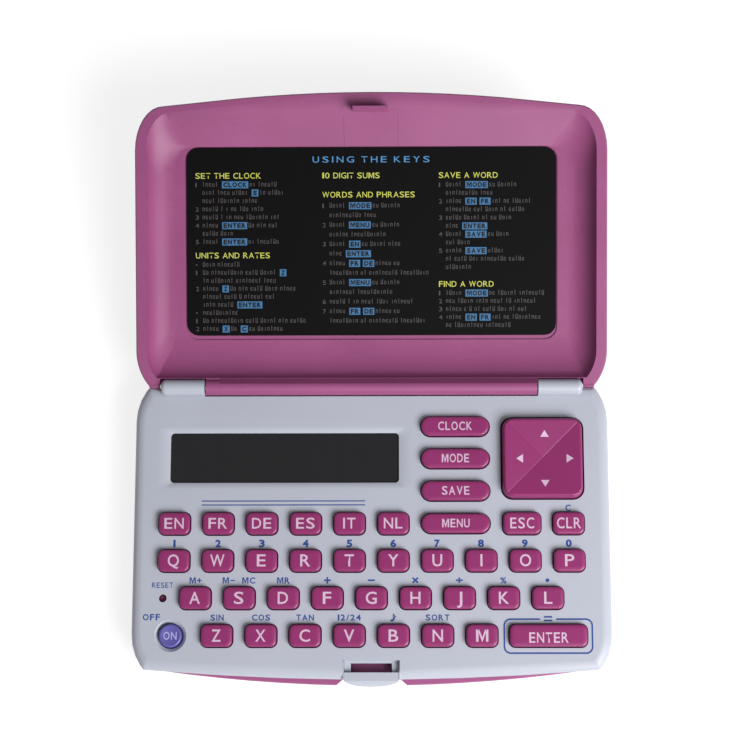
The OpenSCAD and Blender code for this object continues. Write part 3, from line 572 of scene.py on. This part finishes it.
class TRANSLATOR_OT_lid(bpy.types.Operator):
    """Lid with its dished inside, barrel and hook, the fine trim of the dish and the back corners, and
    painted shade and highlight lines in the dish's front slope
    """

    bl_idname = "translator.lid"
    bl_label = "Lid"

    def execute(self, context):
        bm = softened("lid_shell", context.scene.translator_sizes.case_edge)
        self.paint_witness_shading(BVHTree.FromBMesh(bm))
        piece("lid_moulding", bm, "shell ABS", "lid", ("lid_shell",), placed=True)
        self.dish_edge()
        self.corner_lips()
        return {"FINISHED"}

    def dish_edge(self):
        """Back edge of the dish, which runs up on to the barrel, but for a notch beside the left knuckle."""
        crest = HINGE_Z + 2.1
        profile = [(0.6, crest - 0.3), (0.6, crest), (2.2, crest - 1.38), (2.62, crest - 1.95)]
        profile += [(3.0, crest - 2.55), (2.8, crest - 2.6), (1.5, crest - 1.3)]
        start, end = -38.4, 42.3
        bm = bmesh.new()
        section = bm.faces.new([bm.verts.new((start, y, z)) for y, z in profile])
        drawn = bmesh.ops.extrude_face_region(bm, geom=[section])["geom"]
        bmesh.ops.translate(bm, vec=(end - start, 0, 0), verts=only(BMVert, drawn))
        round_edges(bm, bm.edges[:], 0.05)
        face_out(bm)
        piece("dish_edge", bm, "shell ABS", "lid")

    def corner_lips(self):
        """Lips at the lid's two back corners, which close the view past the knuckles' outer ends."""
        bm = bmesh.new()
        for side in (-1, 1):
            x, y, z = side * 55.35, 0.52, HINGE_Z - 1.1
            face = plate(bm, width=2.8, depth=1.05, radius=0.3, z=z, x=x, y=y, segments=4)
            rounded_top(bm, raise_face(bm, face, 1.15), 0.25, 3)
        face_out(bm)
        piece("corner_lips", bm, "shell ABS", "lid")

    def paint_witness_shading(self, surface):
        """Two fine lines in the front slope of the dish, where the tool's slide for the hook met it: a line
        of painted shade and a line of painted highlight beside it, for the shade and the lit edge of the
        slide's small step.
        """
        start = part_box("reference_card")[1].y + 0.4 * MM
        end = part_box("lid_shell")[1].y - 6.0 * MM
        count, line, lift = 14, 0.14 * MM, 0.015 * MM
        # The dark copy of the shell colour is painted shade, and the light copy is painted highlight
        for name, colour, shift in (
            ("witness_painted_shade", "shell painted shade", 0.0),
            ("witness_painted_highlight", "shell painted highlight", 0.16),
        ):
            bm = bmesh.new()
            for side in (-6.9, 6.9):
                chain = []
                for i in range(count):
                    above = Vector(((side + shift) * MM, start + (end - start) * i / (count - 1), 1.0))
                    spot = surface.ray_cast(above, Vector((0, 0, -1)))[0]
                    chain.append(bm.verts.new(spot + Vector((0, 0, lift))))
                edges = [bm.edges.new(pair) for pair in zip(chain, chain[1:])]
                wide = bmesh.ops.extrude_edge_only(bm, edges=edges)["geom"]
                bmesh.ops.translate(bm, vec=(line, 0, 0), verts=only(BMVert, wide))
            face_out(bm)
            piece(name, bm, colour, "lid", sharp=60.0, placed=True)


# -------- keys


CAP_WORDS = {
    "key_lang_1": "EN", "key_lang_2": "FR", "key_lang_3": "DE",
    "key_lang_4": "ES", "key_lang_5": "IT", "key_lang_6": "NL",
    "key_esc": "ESC", "key_clr": "CLR", "key_enter": "ENTER",
    "pill_menu": "MENU", "pill_save": "SAVE", "pill_mode": "MODE", "pill_clock": "CLOCK",
}  # fmt: skip


class TRANSLATOR_OT_keys(bpy.types.Operator):
    """Key caps with rounded, slightly crowned tops, and the legends on them"""

    bl_idname = "translator.keys"
    bl_label = "Keys"

    def execute(self, context):
        sizes = context.scene.translator_sizes
        for node in KEY_NODES:
            name = node.split("_", 1)[1]
            x, y = middle(node)
            piece("cap_" + name, self.cap(node, x, y, sizes), "cap ABS", node, (node,))
            ink = bmesh.new()
            # The enter key's word stands a little in front of its middle
            down = 0.5 if node == "key_enter" else 0
            join(ink, self.legend(node), x, y - down, CAP_TOP + sizes.ink / 2)
            piece("legend_" + name, ink, "legend ink", node, sharp=180.0)
        self.on_key(sizes)
        return {"FINISHED"}

    def cap(self, node, x, y, sizes):
        """A cap on its flange: raised, rounded at its edge, crowned in three steps, hollow below."""
        low, high = box(node)
        width, depth = (high - low).x - 2 * FLANGE, (high - low).y - 2 * FLANGE
        corner = depth / 2 if node.startswith("pill_") else 1.5
        bm = bmesh.new()
        foot = plate(bm, width + 2 * FLANGE, depth + 2 * FLANGE, corner + FLANGE, FLANGE_Z, x, y)
        face = raise_face(bm, foot, FLANGE_RISE)
        step_in(bm, face, FLANGE, 0)
        face = raise_face(bm, face, CAP_TOP - sizes.cap_edge - sizes.cap_crown - FLANGE_Z - FLANGE_RISE)
        rounded_top(bm, face, sizes.cap_edge)
        for share in (0.5, 0.3, 0.2):
            step_in(bm, face, 0.22, sizes.cap_crown * share)
        hollow(bm)
        face_out(bm)
        return bm

    def legend(self, node):
        """The lettering of a key: letters stand taller than words, and the pills' words are smallest."""
        word = CAP_WORDS.get(node, node[-1].upper())
        if node.startswith("pill_"):
            return lettering(word, 2.15, width=1.72 * len(word), weight=0.012)
        if node == "key_enter":
            return lettering(word, 2.55, width=9.75, weight=0.012)
        if len(word) > 1:
            return lettering(word, 2.7, width=6.0 if len(word) == 3 else None, weight=0.008)
        return lettering(word, 3.0, weight=0.01)

    def on_key(self, sizes):
        """The round key: turned profile with a rounded edge, a shallow dish and a hollow below."""
        low, high = box("key_on")
        x, y = middle("key_on")
        radius = (high.x - low.x) / 2 - FLANGE
        top, lip, dish = high.z, 0.45, 0.1
        bm = bmesh.new()
        profile = [(0, FLANGE_Z + HOLLOW_DEPTH), (radius - HOLLOW_WALL, FLANGE_Z + HOLLOW_DEPTH)]
        profile += [(radius - HOLLOW_WALL, FLANGE_Z), (radius + FLANGE, FLANGE_Z)]
        profile += [(radius + FLANGE, FLANGE_Z + FLANGE_RISE), (radius, FLANGE_Z + FLANGE_RISE)]
        for i in range(7):
            a = math.pi / 2 * i / 6
            profile.append((radius - lip + lip * math.cos(a), top - lip + lip * math.sin(a)))
        profile += [(radius * 0.76, top - 0.03), (radius * 0.7, top - dish), (0, top - dish)]
        chain = [bm.verts.new((x + r, y, z)) for r, z in profile]
        edges = [bm.edges.new(pair) for pair in zip(chain, chain[1:])]
        full = {"axis": (0, 0, 1), "angle": 2 * math.pi, "steps": 64, "use_merge": True}
        bmesh.ops.spin(bm, geom=chain + edges, cent=(x, y, 0), **full)
        bmesh.ops.remove_doubles(bm, verts=bm.verts, dist=0.001)
        face_out(bm)
        piece("cap_on", bm, "ON cap ABS", "key_on", ("key_on",))
        ink = bmesh.new()
        join(ink, lettering("ON", 1.95, width=3.3, weight=0.01), x, y, top - dish + sizes.ink / 2)
        piece("legend_on", ink, "ON ink", "key_on", sharp=180.0)


class TRANSLATOR_OT_pad(bpy.types.Operator):
    """Direction pad with its four facets and an arrow on each"""

    bl_idname = "translator.pad"
    bl_label = "Direction pad"

    def execute(self, context):
        self.cap()
        self.arrows()
        return {"FINISHED"}

    def arrows(self):
        """One arrow on each facet, printed a little off the pad's middle."""
        low, high = box("direction_pad")
        x, y = middle("direction_pad")
        shift = Vector((0.5, -0.25, 0))
        reach = (high.x - low.x) / 2 - FLANGE - 0.9
        dish = 1.5  # how far the middle lies below the rim
        tilt = math.atan2(dish, reach)
        bm = bmesh.new()
        for turn in range(4):
            foot = bmesh.ops.create_circle(bm, cap_ends=True, segments=3, radius=1.25)["verts"]
            bmesh.ops.scale(bm, vec=(1.0, 0.93, 1.0), verts=foot)
            grown = bmesh.ops.extrude_face_region(bm, geom=list(foot[0].link_faces))["geom"]
            top = only(BMVert, grown)
            bmesh.ops.translate(bm, vec=(0, 0, 0.04), verts=top)
            spin = Matrix.Rotation(math.pi / 2 * turn, 4, "Z")
            aside, off = (spin.inverted() @ shift).xy
            away = 6.05 + off
            seat = Vector((aside, away, high.z - dish * (1 - away / reach) - 0.015))
            lift = Matrix.Translation(seat) @ Matrix.Rotation(tilt, 4, "X")
            bmesh.ops.transform(bm, matrix=Matrix.Translation((x, y, 0)) @ spin @ lift, verts=foot + top)
        face_out(bm)
        piece("pad_arrows", bm, "legend ink", "pad", sharp=30.0)

    def cap(self):
        """The pad itself, with a fine groove pressed along each diagonal of its dish."""
        low, high = box("direction_pad")
        centre = (low + high) / 2 + Vector((0, HINGE_Y, 0))
        bm = merged("direction_pad")
        hollow(bm, depth=1.0)
        # The foot's outer corners are lifted, so that they clear the mat when the pad rocks
        corners = [v for v in bm.verts if v.co.z < low.z + 0.01 and (v.co - centre).xy.length > 11]
        bmesh.ops.translate(bm, vec=(0, 0, 0.4), verts=corners)

        def on_diagonal(vert):
            return abs(abs(vert.co.x - centre.x) - abs(vert.co.y - centre.y)) < 0.05

        def is_valley(edge):
            dished = all(v.co.z > high.z - 2 and on_diagonal(v) for v in edge.verts)
            return dished and 5 < math.degrees(edge.calc_face_angle(0)) < 25

        grooved = round_edges(bm, [e for e in bm.edges if is_valley(e)], 0.34)
        pressed = [v for v in grooved["verts"] if on_diagonal(v)]
        bmesh.ops.translate(bm, vec=(0, 0, -0.08), verts=pressed)

        def is_rim(edge):
            turned = edge.is_manifold and edge.calc_face_angle(0) > math.radians(32)
            return turned and min(v.co.z for v in edge.verts) > low.z + 1.2

        round_edges(bm, [e for e in bm.edges if is_rim(e)], 0.35, 3)
        bmesh.ops.scale(bm, vec=(MM,) * 3, verts=bm.verts)
        piece("pad_cap", bm, "cap ABS", "pad", ("direction_pad",), sharp=8.0, placed=True)


# -------- display


class TRANSLATOR_OT_display(bpy.types.Operator):
    """Tinted display window"""

    bl_idname = "translator.display"
    bl_label = "Display window"

    def execute(self, context):
        soft_piece("window_lens", "display_window", "window acrylic", "base", 0.12)
        return {"FINISHED"}


# -------- printing on the deck


# Signs over the middle row: the key's letter, how far beside it the sign stands, and the sign
MEMORY_SIGNS = (("a", 0, "M+"), ("s", -2.7, "M−"), ("s", 2.3, "MC"), ("d", 0, "MR"))
SUM_SIGNS = (("f", 0, "+"), ("g", 0, "−"), ("h", 0, "×"), ("j", 0, "÷"), ("k", 0, "%"), ("l", 0, "•"))
BOTTOM_WORDS = (("z", "SIN"), ("x", "COS"), ("c", "TAN"), ("v", "12/24"), ("b", "♪"), ("n", "SORT"))


class TRANSLATOR_OT_printing(bpy.types.Operator):
    """Blue printing on the deck: digits, signs, words, stripes and the frame round the enter key"""

    bl_idname = "translator.printing"
    bl_label = "Deck printing"

    def execute(self, context):
        z = DECK_Z + context.scene.translator_sizes.ink / 2
        rows = ("key_lang_1", "key_q", "key_a", "key_z")
        languages, digits, signs, bottom = (middle(node)[1] for node in rows)
        bm = bmesh.new()

        def put(text, cap, over, aside, y, width=None, weight=0.025):
            """Prints a line beside or over a key."""
            x = middle(over)[0] + aside
            join(bm, lettering(text, cap, width=width, weight=weight), x, y, z)

        for letter, digit in zip("qwertyuiop", "1234567890"):
            put(digit, 1.9, "key_" + letter, 0, digits + 4.35, weight=0.045)
        for letter, aside, sign in MEMORY_SIGNS + SUM_SIGNS:
            put(sign, 2.3 if sign in "+−×÷•" else 1.55, "key_" + letter, aside, signs + 4.4)
        for letter, word in BOTTOM_WORDS:
            put(word, 2.0 if word == "♪" else 1.5, "key_" + letter, 0, bottom + 4.5)
        put("C", 1.6, "key_clr", 0, languages + 3.95)
        put("OFF", 1.55, "key_on", -4.8, bottom + 4.6, width=4.3)
        join(bm, lettering("RESET", 1.35, width=5.3, weight=0.01), -52.3, signs + 3.25, z)
        # The equals sign in the frame round the enter key
        for step in (-0.45, 0.45):
            x, y = middle("key_enter")[0], bottom + 4.2 + step
            plate(bm, width=2.1, depth=0.46, radius=0.05, z=z, x=x, y=y, segments=1)
        # Two plain stripes under the display
        for step in (-0.5, 0.5):
            y = languages + 5.25 + step
            plate(bm, width=41.3, depth=0.3, radius=0.1, z=z, x=-22.2, y=y, segments=2)
        self.enter_frame(bm, z)
        piece("deck_print", bm, "deck ink", "base", sharp=180.0)
        return {"FINISHED"}

    def enter_frame(self, bm, z):
        """A thin printed line round the enter key, open where the equals sign stands."""
        x, y = middle("key_enter")
        width, depth, line, opening = 22.3, 8.8, 0.42, 2.0
        inner = plate(bm, width, depth, 1.8, z, x, y - 0.1, 8)
        ring = bmesh.ops.inset_region(
            bm, faces=[inner], thickness=line, use_even_offset=True, use_boundary=True
        )["faces"]
        bmesh.ops.delete(bm, geom=[inner], context="FACES_ONLY")
        back = max(ring, key=lambda f: (round(f.calc_center_median().y, 2), f.calc_area()))
        for side in (-opening, opening):
            geom = [back] + list(back.edges) + list(back.verts)
            cuts = bmesh.ops.bisect_plane(bm, geom=geom, plane_co=(x + side, y, z), plane_no=(1, 0, 0))
            back = min(only(BMFace, cuts["geom"]), key=lambda f: abs(f.calc_center_median().x - x))
        bmesh.ops.delete(bm, geom=[back], context="FACES")


# -------- reference card


# The card's blocks: left end, first line below the card's top edge, pitch of the lines (mm), lines.
# A line is made of words: a number stands for a plain word of so many letters, [..] is a key's name
# on a chip, and a step's number ends in a stop. A line that starts with = is a heading.
CARD_BLOCKS = [
    (-45.1, 7.2, 2.1, ["=SET THE CLOCK"]),
    (-45.1, 9.5, 2.09, [
        "1. 5 [CLOCK] 2 6", "4 4 5 [S] 2 5", "4 7 5", "2. 5 1 1 2 3 4", "3. 5 1 2 3 7 3",
        "4. 5 [ENTER] 2 3 3", "5 4", "5. 5 [ENTER] 2 7",
    ]),
    (-45.1, 27.6, 2.1, ["=UNITS AND RATES"]),
    (-45.1, 30.0, 2.06, [
        "•. 4 7", "1. 2 10 4 5 [Z]", "2 7 8 4", "2. 5 [Z] 2 3 4 4 5", "6 4 1 6 3", "4 5 [ENTER]", "•. 11",
        "1. 2 10 4 5 3 5", "2. 5 [X] 2 [C] 2 8",
    ]),
    (-12.5, 7.2, 2.1, ["=10 DIGIT SUMS"]),
    (-12.5, 12.1, 2.1, ["=WORDS AND PHRASES"]),
    (-12.5, 14.95, 2.46, [
        "1. 5 [MODE] 2 6", "10 4", "2. 5 [MENU] 2 6", "6 11", "3. 5 [EN] 2 5 4", "4 [ENTER]",
        "4. 5 [FR] [DE] 5 2", "9 2 9 9", "5. 5 [MENU] 2 6", "8 11", "6. 5 1 2 4 4 7",
        "7. 5 [FR] [DE] 5 2", "9 2 9 8",
    ]),
    (17.35, 7.2, 2.1, ["=SAVE A WORD"]),
    (17.35, 9.65, 2.11, [
        "1. 5 [MODE] 2 6", "10 4", "2. 5 [EN] [FR] 3 2 6", "8 3 4 2 5", "3. 5 5 2 2 4", "4 [ENTER]",
        "4. 5 [SAVE] 2 4", "3 4", "5. 5 [SAVE] 5", "2 4 3 8 5", "8",
    ]),
    (17.35, 35.05, 2.1, ["=FIND A WORD"]),
    (17.35, 37.4, 2.06, [
        "1. 5 [MODE] 2 6 8", "2. 3 5 4 4 2 7", "3. 5 1 1 2 4 3 2 3", "4. 5 [EN] [FR] 3 2 9", "2 9 8",
    ]),
]  # fmt: skip

# Strokes that stand in for small letters: middle, width and height, as shares of the letter
SMALL_STROKES = (
    ((-0.36, 0, 0.26, 1), (0.36, 0, 0.26, 0.9), (0, 0.42, 0.5, 0.2)),
    ((-0.36, 0, 0.26, 0.9), (0.36, 0, 0.26, 1), (0, -0.42, 0.5, 0.2)),
    ((0, 0, 0.28, 1),),
    ((-0.36, 0, 0.26, 0.8), (0.1, 0.42, 0.7, 0.18), (0.05, 0, 0.6, 0.18), (0.1, -0.42, 0.7, 0.18)),
    ((-0.36, 0, 0.26, 0.8), (0.36, 0, 0.26, 0.8), (0, 0.42, 0.5, 0.18), (0, -0.42, 0.5, 0.18)),
)
SMALL_PITCH = 0.83  # from one small letter to the next
SMALL_WIDTH = 0.56
SMALL_HEIGHT, TALL_HEIGHT = 0.9, 1.25


class TRANSLATOR_OT_card(bpy.types.Operator):
    """Reference card: a title, headings and numbered lines in three columns, printed on black film"""

    bl_idname = "translator.card"
    bl_label = "Reference card"

    def execute(self, context):
        ink = context.scene.translator_sizes.ink
        card = frame["nodes"]["reference_card"]
        card.data.materials.clear()
        card.data.materials.append(finish("card film"))
        # The card is drawn as it lies in the closed lid, facing down, so its corners are turned back there
        axis = Matrix.Translation((0, 0, HINGE_Z))
        turn = axis @ Matrix.Rotation(math.radians(OPEN_ANGLE), 4, "X") @ Matrix.Translation((0, 0, -HINGE_Z))
        points = [turn @ (v.co / MM - Vector((0, HINGE_Y, 0))) for v in card.data.vertices]
        z = min(p.z for p in points) - ink
        far = min(p.y for p in points)
        inks = {name + " ink": bmesh.new() for name in ("title", "heading", "chip", "text", "film")}
        for left, top, pitch, lines in CARD_BLOCKS:
            for i, line in enumerate(lines):
                self.rule(inks, line, left, far + top + i * pitch, z)
        self.words(inks["title ink"], "USING THE KEYS", 1.55, 0.0, far + 3.1, z, gap=0.42, width=30.0)
        for material, bm in inks.items():
            face_out(bm)
            name = "card_" + material.replace(" ", "_")
            piece(name, bm, material, "lid", opened=True, sharp=180.0)
        return {"FINISHED"}

    def words(self, bm, text, cap, left, y, z, gap=0.2, width=None, weight=0.004):
        """Real lettering, turned to face the reader of the open lid; a left end of 0 centres it."""
        mesh = lettering(text, cap, width, weight=weight, gap=gap)
        mesh.transform(Matrix.Rotation(math.pi, 4, "X"))
        long = max(v.co.x for v in mesh.vertices) * 2
        join(bm, mesh, left + long / 2 if left else 0.0, y, z)
        return long

    def stroke(self, bm, x, y, width, height, z):
        """One printed stroke, facing the reader of the open lid."""
        seat = Matrix.Translation((x, y, z)) @ Matrix.Diagonal((width, height, -1, 1))
        bmesh.ops.create_grid(bm, x_segments=1, y_segments=1, size=0.5, matrix=seat)

    def rule(self, inks, line, left, y, z):
        """One line of the card: a heading, or its number, chips and small letters."""
        if line[0] == "=":
            self.words(inks["heading ink"], line[1:], 1.45, left, y, z, gap=0.17)
            return
        words = line.split()
        if words[0][-1] == ".":
            self.words(inks["text ink"], words.pop(0)[0], 1.1, left, y, z)
        x = left + 2.1
        for order, word in enumerate(words):
            if word[0] == "[":
                name = word[1:-1]
                # The name lies on the side of the chip that the reader sees
                over = z - INK_FILM
                long = self.words(inks["film ink"], name, 1.28, x + 0.4, y, over, gap=0.13, weight=0.055)
                self.stroke(inks["chip ink"], x + 0.4 + long / 2, y, long + 0.7, 1.8, z)
                x += long + 1.4
                continue
            for i in range(int(word)):
                # A fixed mixture of the letters, of which one in three is tall
                kind = (i * 7 + order * 3 + len(line)) % 9
                tall = TALL_HEIGHT if kind > 5 else SMALL_HEIGHT
                for across, along, wide, high in SMALL_STROKES[2 if kind > 6 else kind % 5]:
                    mid_x = x + across * SMALL_WIDTH
                    mid_y = y - along * tall - (tall - SMALL_HEIGHT) / 2
                    self.stroke(inks["text ink"], mid_x, mid_y, wide * SMALL_WIDTH, high * tall, z)
                x += SMALL_PITCH
            x += 0.5


# -------- inner pieces


INNER = {
    "hinge_pins": "turned steel", "pad_pivot": "silicone", "key_mat": "silicone",
    "circuit_board": "solder mask", "chip_cover": "resin", "lcd_glass": "display glass",
    "zebra_strip": "zebra rubber", "buzzer": "brass", "coin_cells": "cell can",
    "battery_contacts": "contact bronze", "case_screws": "turned steel",
}  # fmt: skip


class TRANSLATOR_OT_inside(bpy.types.Operator):
    """Finishes of the pieces inside and underneath"""

    bl_idname = "translator.inside"
    bl_label = "Inner pieces"

    def execute(self, context):
        for node, material in INNER.items():
            mesh = frame["nodes"][node].data
            mesh.materials.clear()
            mesh.materials.append(finish(material))
        return {"FINISHED"}


# -------- stage


# Linear colours of the floor: the paper that lights the object, and the paper and the glow that are seen
PAPER = (0.86, 0.86, 0.87, 1.0)
SEEN_PAPER = (0.34, 0.34, 0.345, 1.0)
SEEN_GLOW = (0.8, 0.8, 0.8, 1.0)
# Places in metres, and turns in degrees
FLOOR_SIZE, FLOOR_Z = 3.0, -0.0003
SOFTBOX_AT, SOFTBOX_AIM, SOFTBOX_SIZE = (0.40, -0.36, 0.48), (0, 0.02, 0.01), (0.5, 0.4)
CAMERA_AT = (0.00643, -0.03834, 0.45484)
CAMERA_TURNS = ((10.001, "X"), (0.7008, "Y"), (-0.1208, "Z"))
CAMERA_LENS, CAMERA_SENSOR = 84.75, 36.0


class TRANSLATOR_OT_stage(bpy.types.Operator):
    """Pale floor, soft studio light and the camera"""

    bl_idname = "translator.stage"
    bl_label = "Stage"

    def execute(self, context):
        scene = context.scene
        scene.view_settings.view_transform = "Standard"
        self.floor(scene)
        self.light(scene)
        self.camera(scene)
        return {"FINISHED"}

    def floor(self, scene):
        """White paper. Where it is seen, it is lifted to white and keeps a light shadow of the object."""
        bm = bmesh.new()
        bmesh.ops.create_grid(bm, x_segments=1, y_segments=1, size=FLOOR_SIZE)
        mesh = bpy.data.meshes.new("floor")
        bm.to_mesh(mesh)
        bm.free()
        floor = bpy.data.objects.new("floor", mesh)
        floor.location.z = FLOOR_Z
        scene.collection.objects.link(floor)
        material, tree, out = blank("Floor paper")
        paper = add(tree, "ShaderNodeBsdfDiffuse", {"Color": PAPER})
        pale = add(tree, "ShaderNodeBsdfDiffuse", {"Color": SEEN_PAPER})
        glow = add(tree, "ShaderNodeEmission", {"Color": SEEN_GLOW, "Strength": 1.0})
        both = add(tree, "ShaderNodeAddShader")
        tree.links.new(pale.outputs["BSDF"], both.inputs[0])
        tree.links.new(glow.outputs["Emission"], both.inputs[1])
        rays = add(tree, "ShaderNodeLightPath").outputs
        seen = add(tree, "ShaderNodeMath", {"operation": "MAXIMUM"})
        tree.links.new(rays["Is Camera Ray"], seen.inputs[0])
        tree.links.new(rays["Is Glossy Ray"], seen.inputs[1])
        through = add(tree, "ShaderNodeMath", {"operation": "MAXIMUM"})
        tree.links.new(seen.outputs["Value"], through.inputs[0])
        tree.links.new(rays["Is Transmission Ray"], through.inputs[1])
        shown = add(tree, "ShaderNodeMixShader", links={"Fac": through.outputs["Value"]})
        tree.links.new(paper.outputs["BSDF"], shown.inputs[1])
        tree.links.new(both.outputs["Shader"], shown.inputs[2])
        tree.links.new(shown.outputs["Shader"], out.inputs["Surface"])
        mesh.materials.append(material)

    def light(self, scene):
        """An even light from all round, and a softbox that gives the edges their highlights."""
        world = bpy.data.worlds.new("Studio")
        world.use_nodes = True
        ground = world.node_tree.nodes["Background"].inputs
        ground["Color"].default_value = (1.0, 1.0, 1.0, 1.0)
        ground["Strength"].default_value = scene.translator_studio.fill
        scene.world = world
        light = bpy.data.lights.new("front_right_softbox", "AREA")
        light.energy = scene.translator_studio.key_power
        light.shape = "RECTANGLE"
        light.size, light.size_y = SOFTBOX_SIZE
        lamp = bpy.data.objects.new("front_right_softbox", light)
        lamp.location = SOFTBOX_AT
        lamp.rotation_euler = (Vector(SOFTBOX_AIM) - lamp.location).to_track_quat("-Z", "Y").to_euler()
        scene.collection.objects.link(lamp)

    def camera(self, scene):
        camera = bpy.data.cameras.new("camera")
        camera.sensor_width = CAMERA_SENSOR
        camera.lens = CAMERA_LENS
        camera.clip_start, camera.clip_end = 0.01, 10.0
        viewer = bpy.data.objects.new("camera", camera)
        seat = Matrix.Translation(CAMERA_AT)
        for angle, axis in CAMERA_TURNS:
            seat = seat @ Matrix.Rotation(math.radians(angle), 4, axis)
        viewer.matrix_world = seat
        scene.collection.objects.link(viewer)
        scene.camera = viewer


# -------- panel and registration


class TRANSLATOR_PT_panel(bpy.types.Panel):
    """Settings and makers of the handheld translator"""

    bl_idname = "TRANSLATOR_PT_panel"
    bl_label = "Handheld Translator"
    bl_space_type = "VIEW_3D"
    bl_region_type = "UI"
    bl_category = "Translator"

    def draw(self, context):
        scene = context.scene
        for group in (scene.translator_colours, scene.translator_sizes, scene.translator_studio):
            column = self.layout.box().column()
            for name in group.__annotations__:
                column.prop(group, name)
        for maker in MAKERS:
            self.layout.operator(maker.bl_idname)


MAKERS = (
    TRANSLATOR_OT_cases,
    TRANSLATOR_OT_lid,
    TRANSLATOR_OT_card,
    TRANSLATOR_OT_keys,
    TRANSLATOR_OT_pad,
    TRANSLATOR_OT_display,
    TRANSLATOR_OT_printing,
    TRANSLATOR_OT_inside,
    TRANSLATOR_OT_stage,
)
CLASSES = (TranslatorColours, TranslatorSizes, TranslatorStudio, *MAKERS, TRANSLATOR_PT_panel)


def register():
    for made in CLASSES:
        bpy.utils.register_class(made)
    bpy.types.Scene.translator_colours = bpy.props.PointerProperty(type=TranslatorColours)
    bpy.types.Scene.translator_sizes = bpy.props.PointerProperty(type=TranslatorSizes)
    bpy.types.Scene.translator_studio = bpy.props.PointerProperty(type=TranslatorStudio)


def unregister():
    for name in ("translator_colours", "translator_sizes", "translator_studio"):
        delattr(bpy.types.Scene, name)
    for made in reversed(CLASSES):
        bpy.utils.unregister_class(made)


def main():
    register()
    for maker in MAKERS:
        group, name = maker.bl_idname.split(".")
        getattr(getattr(bpy.ops, group), name)()


if __name__ == "__main__":
    main()
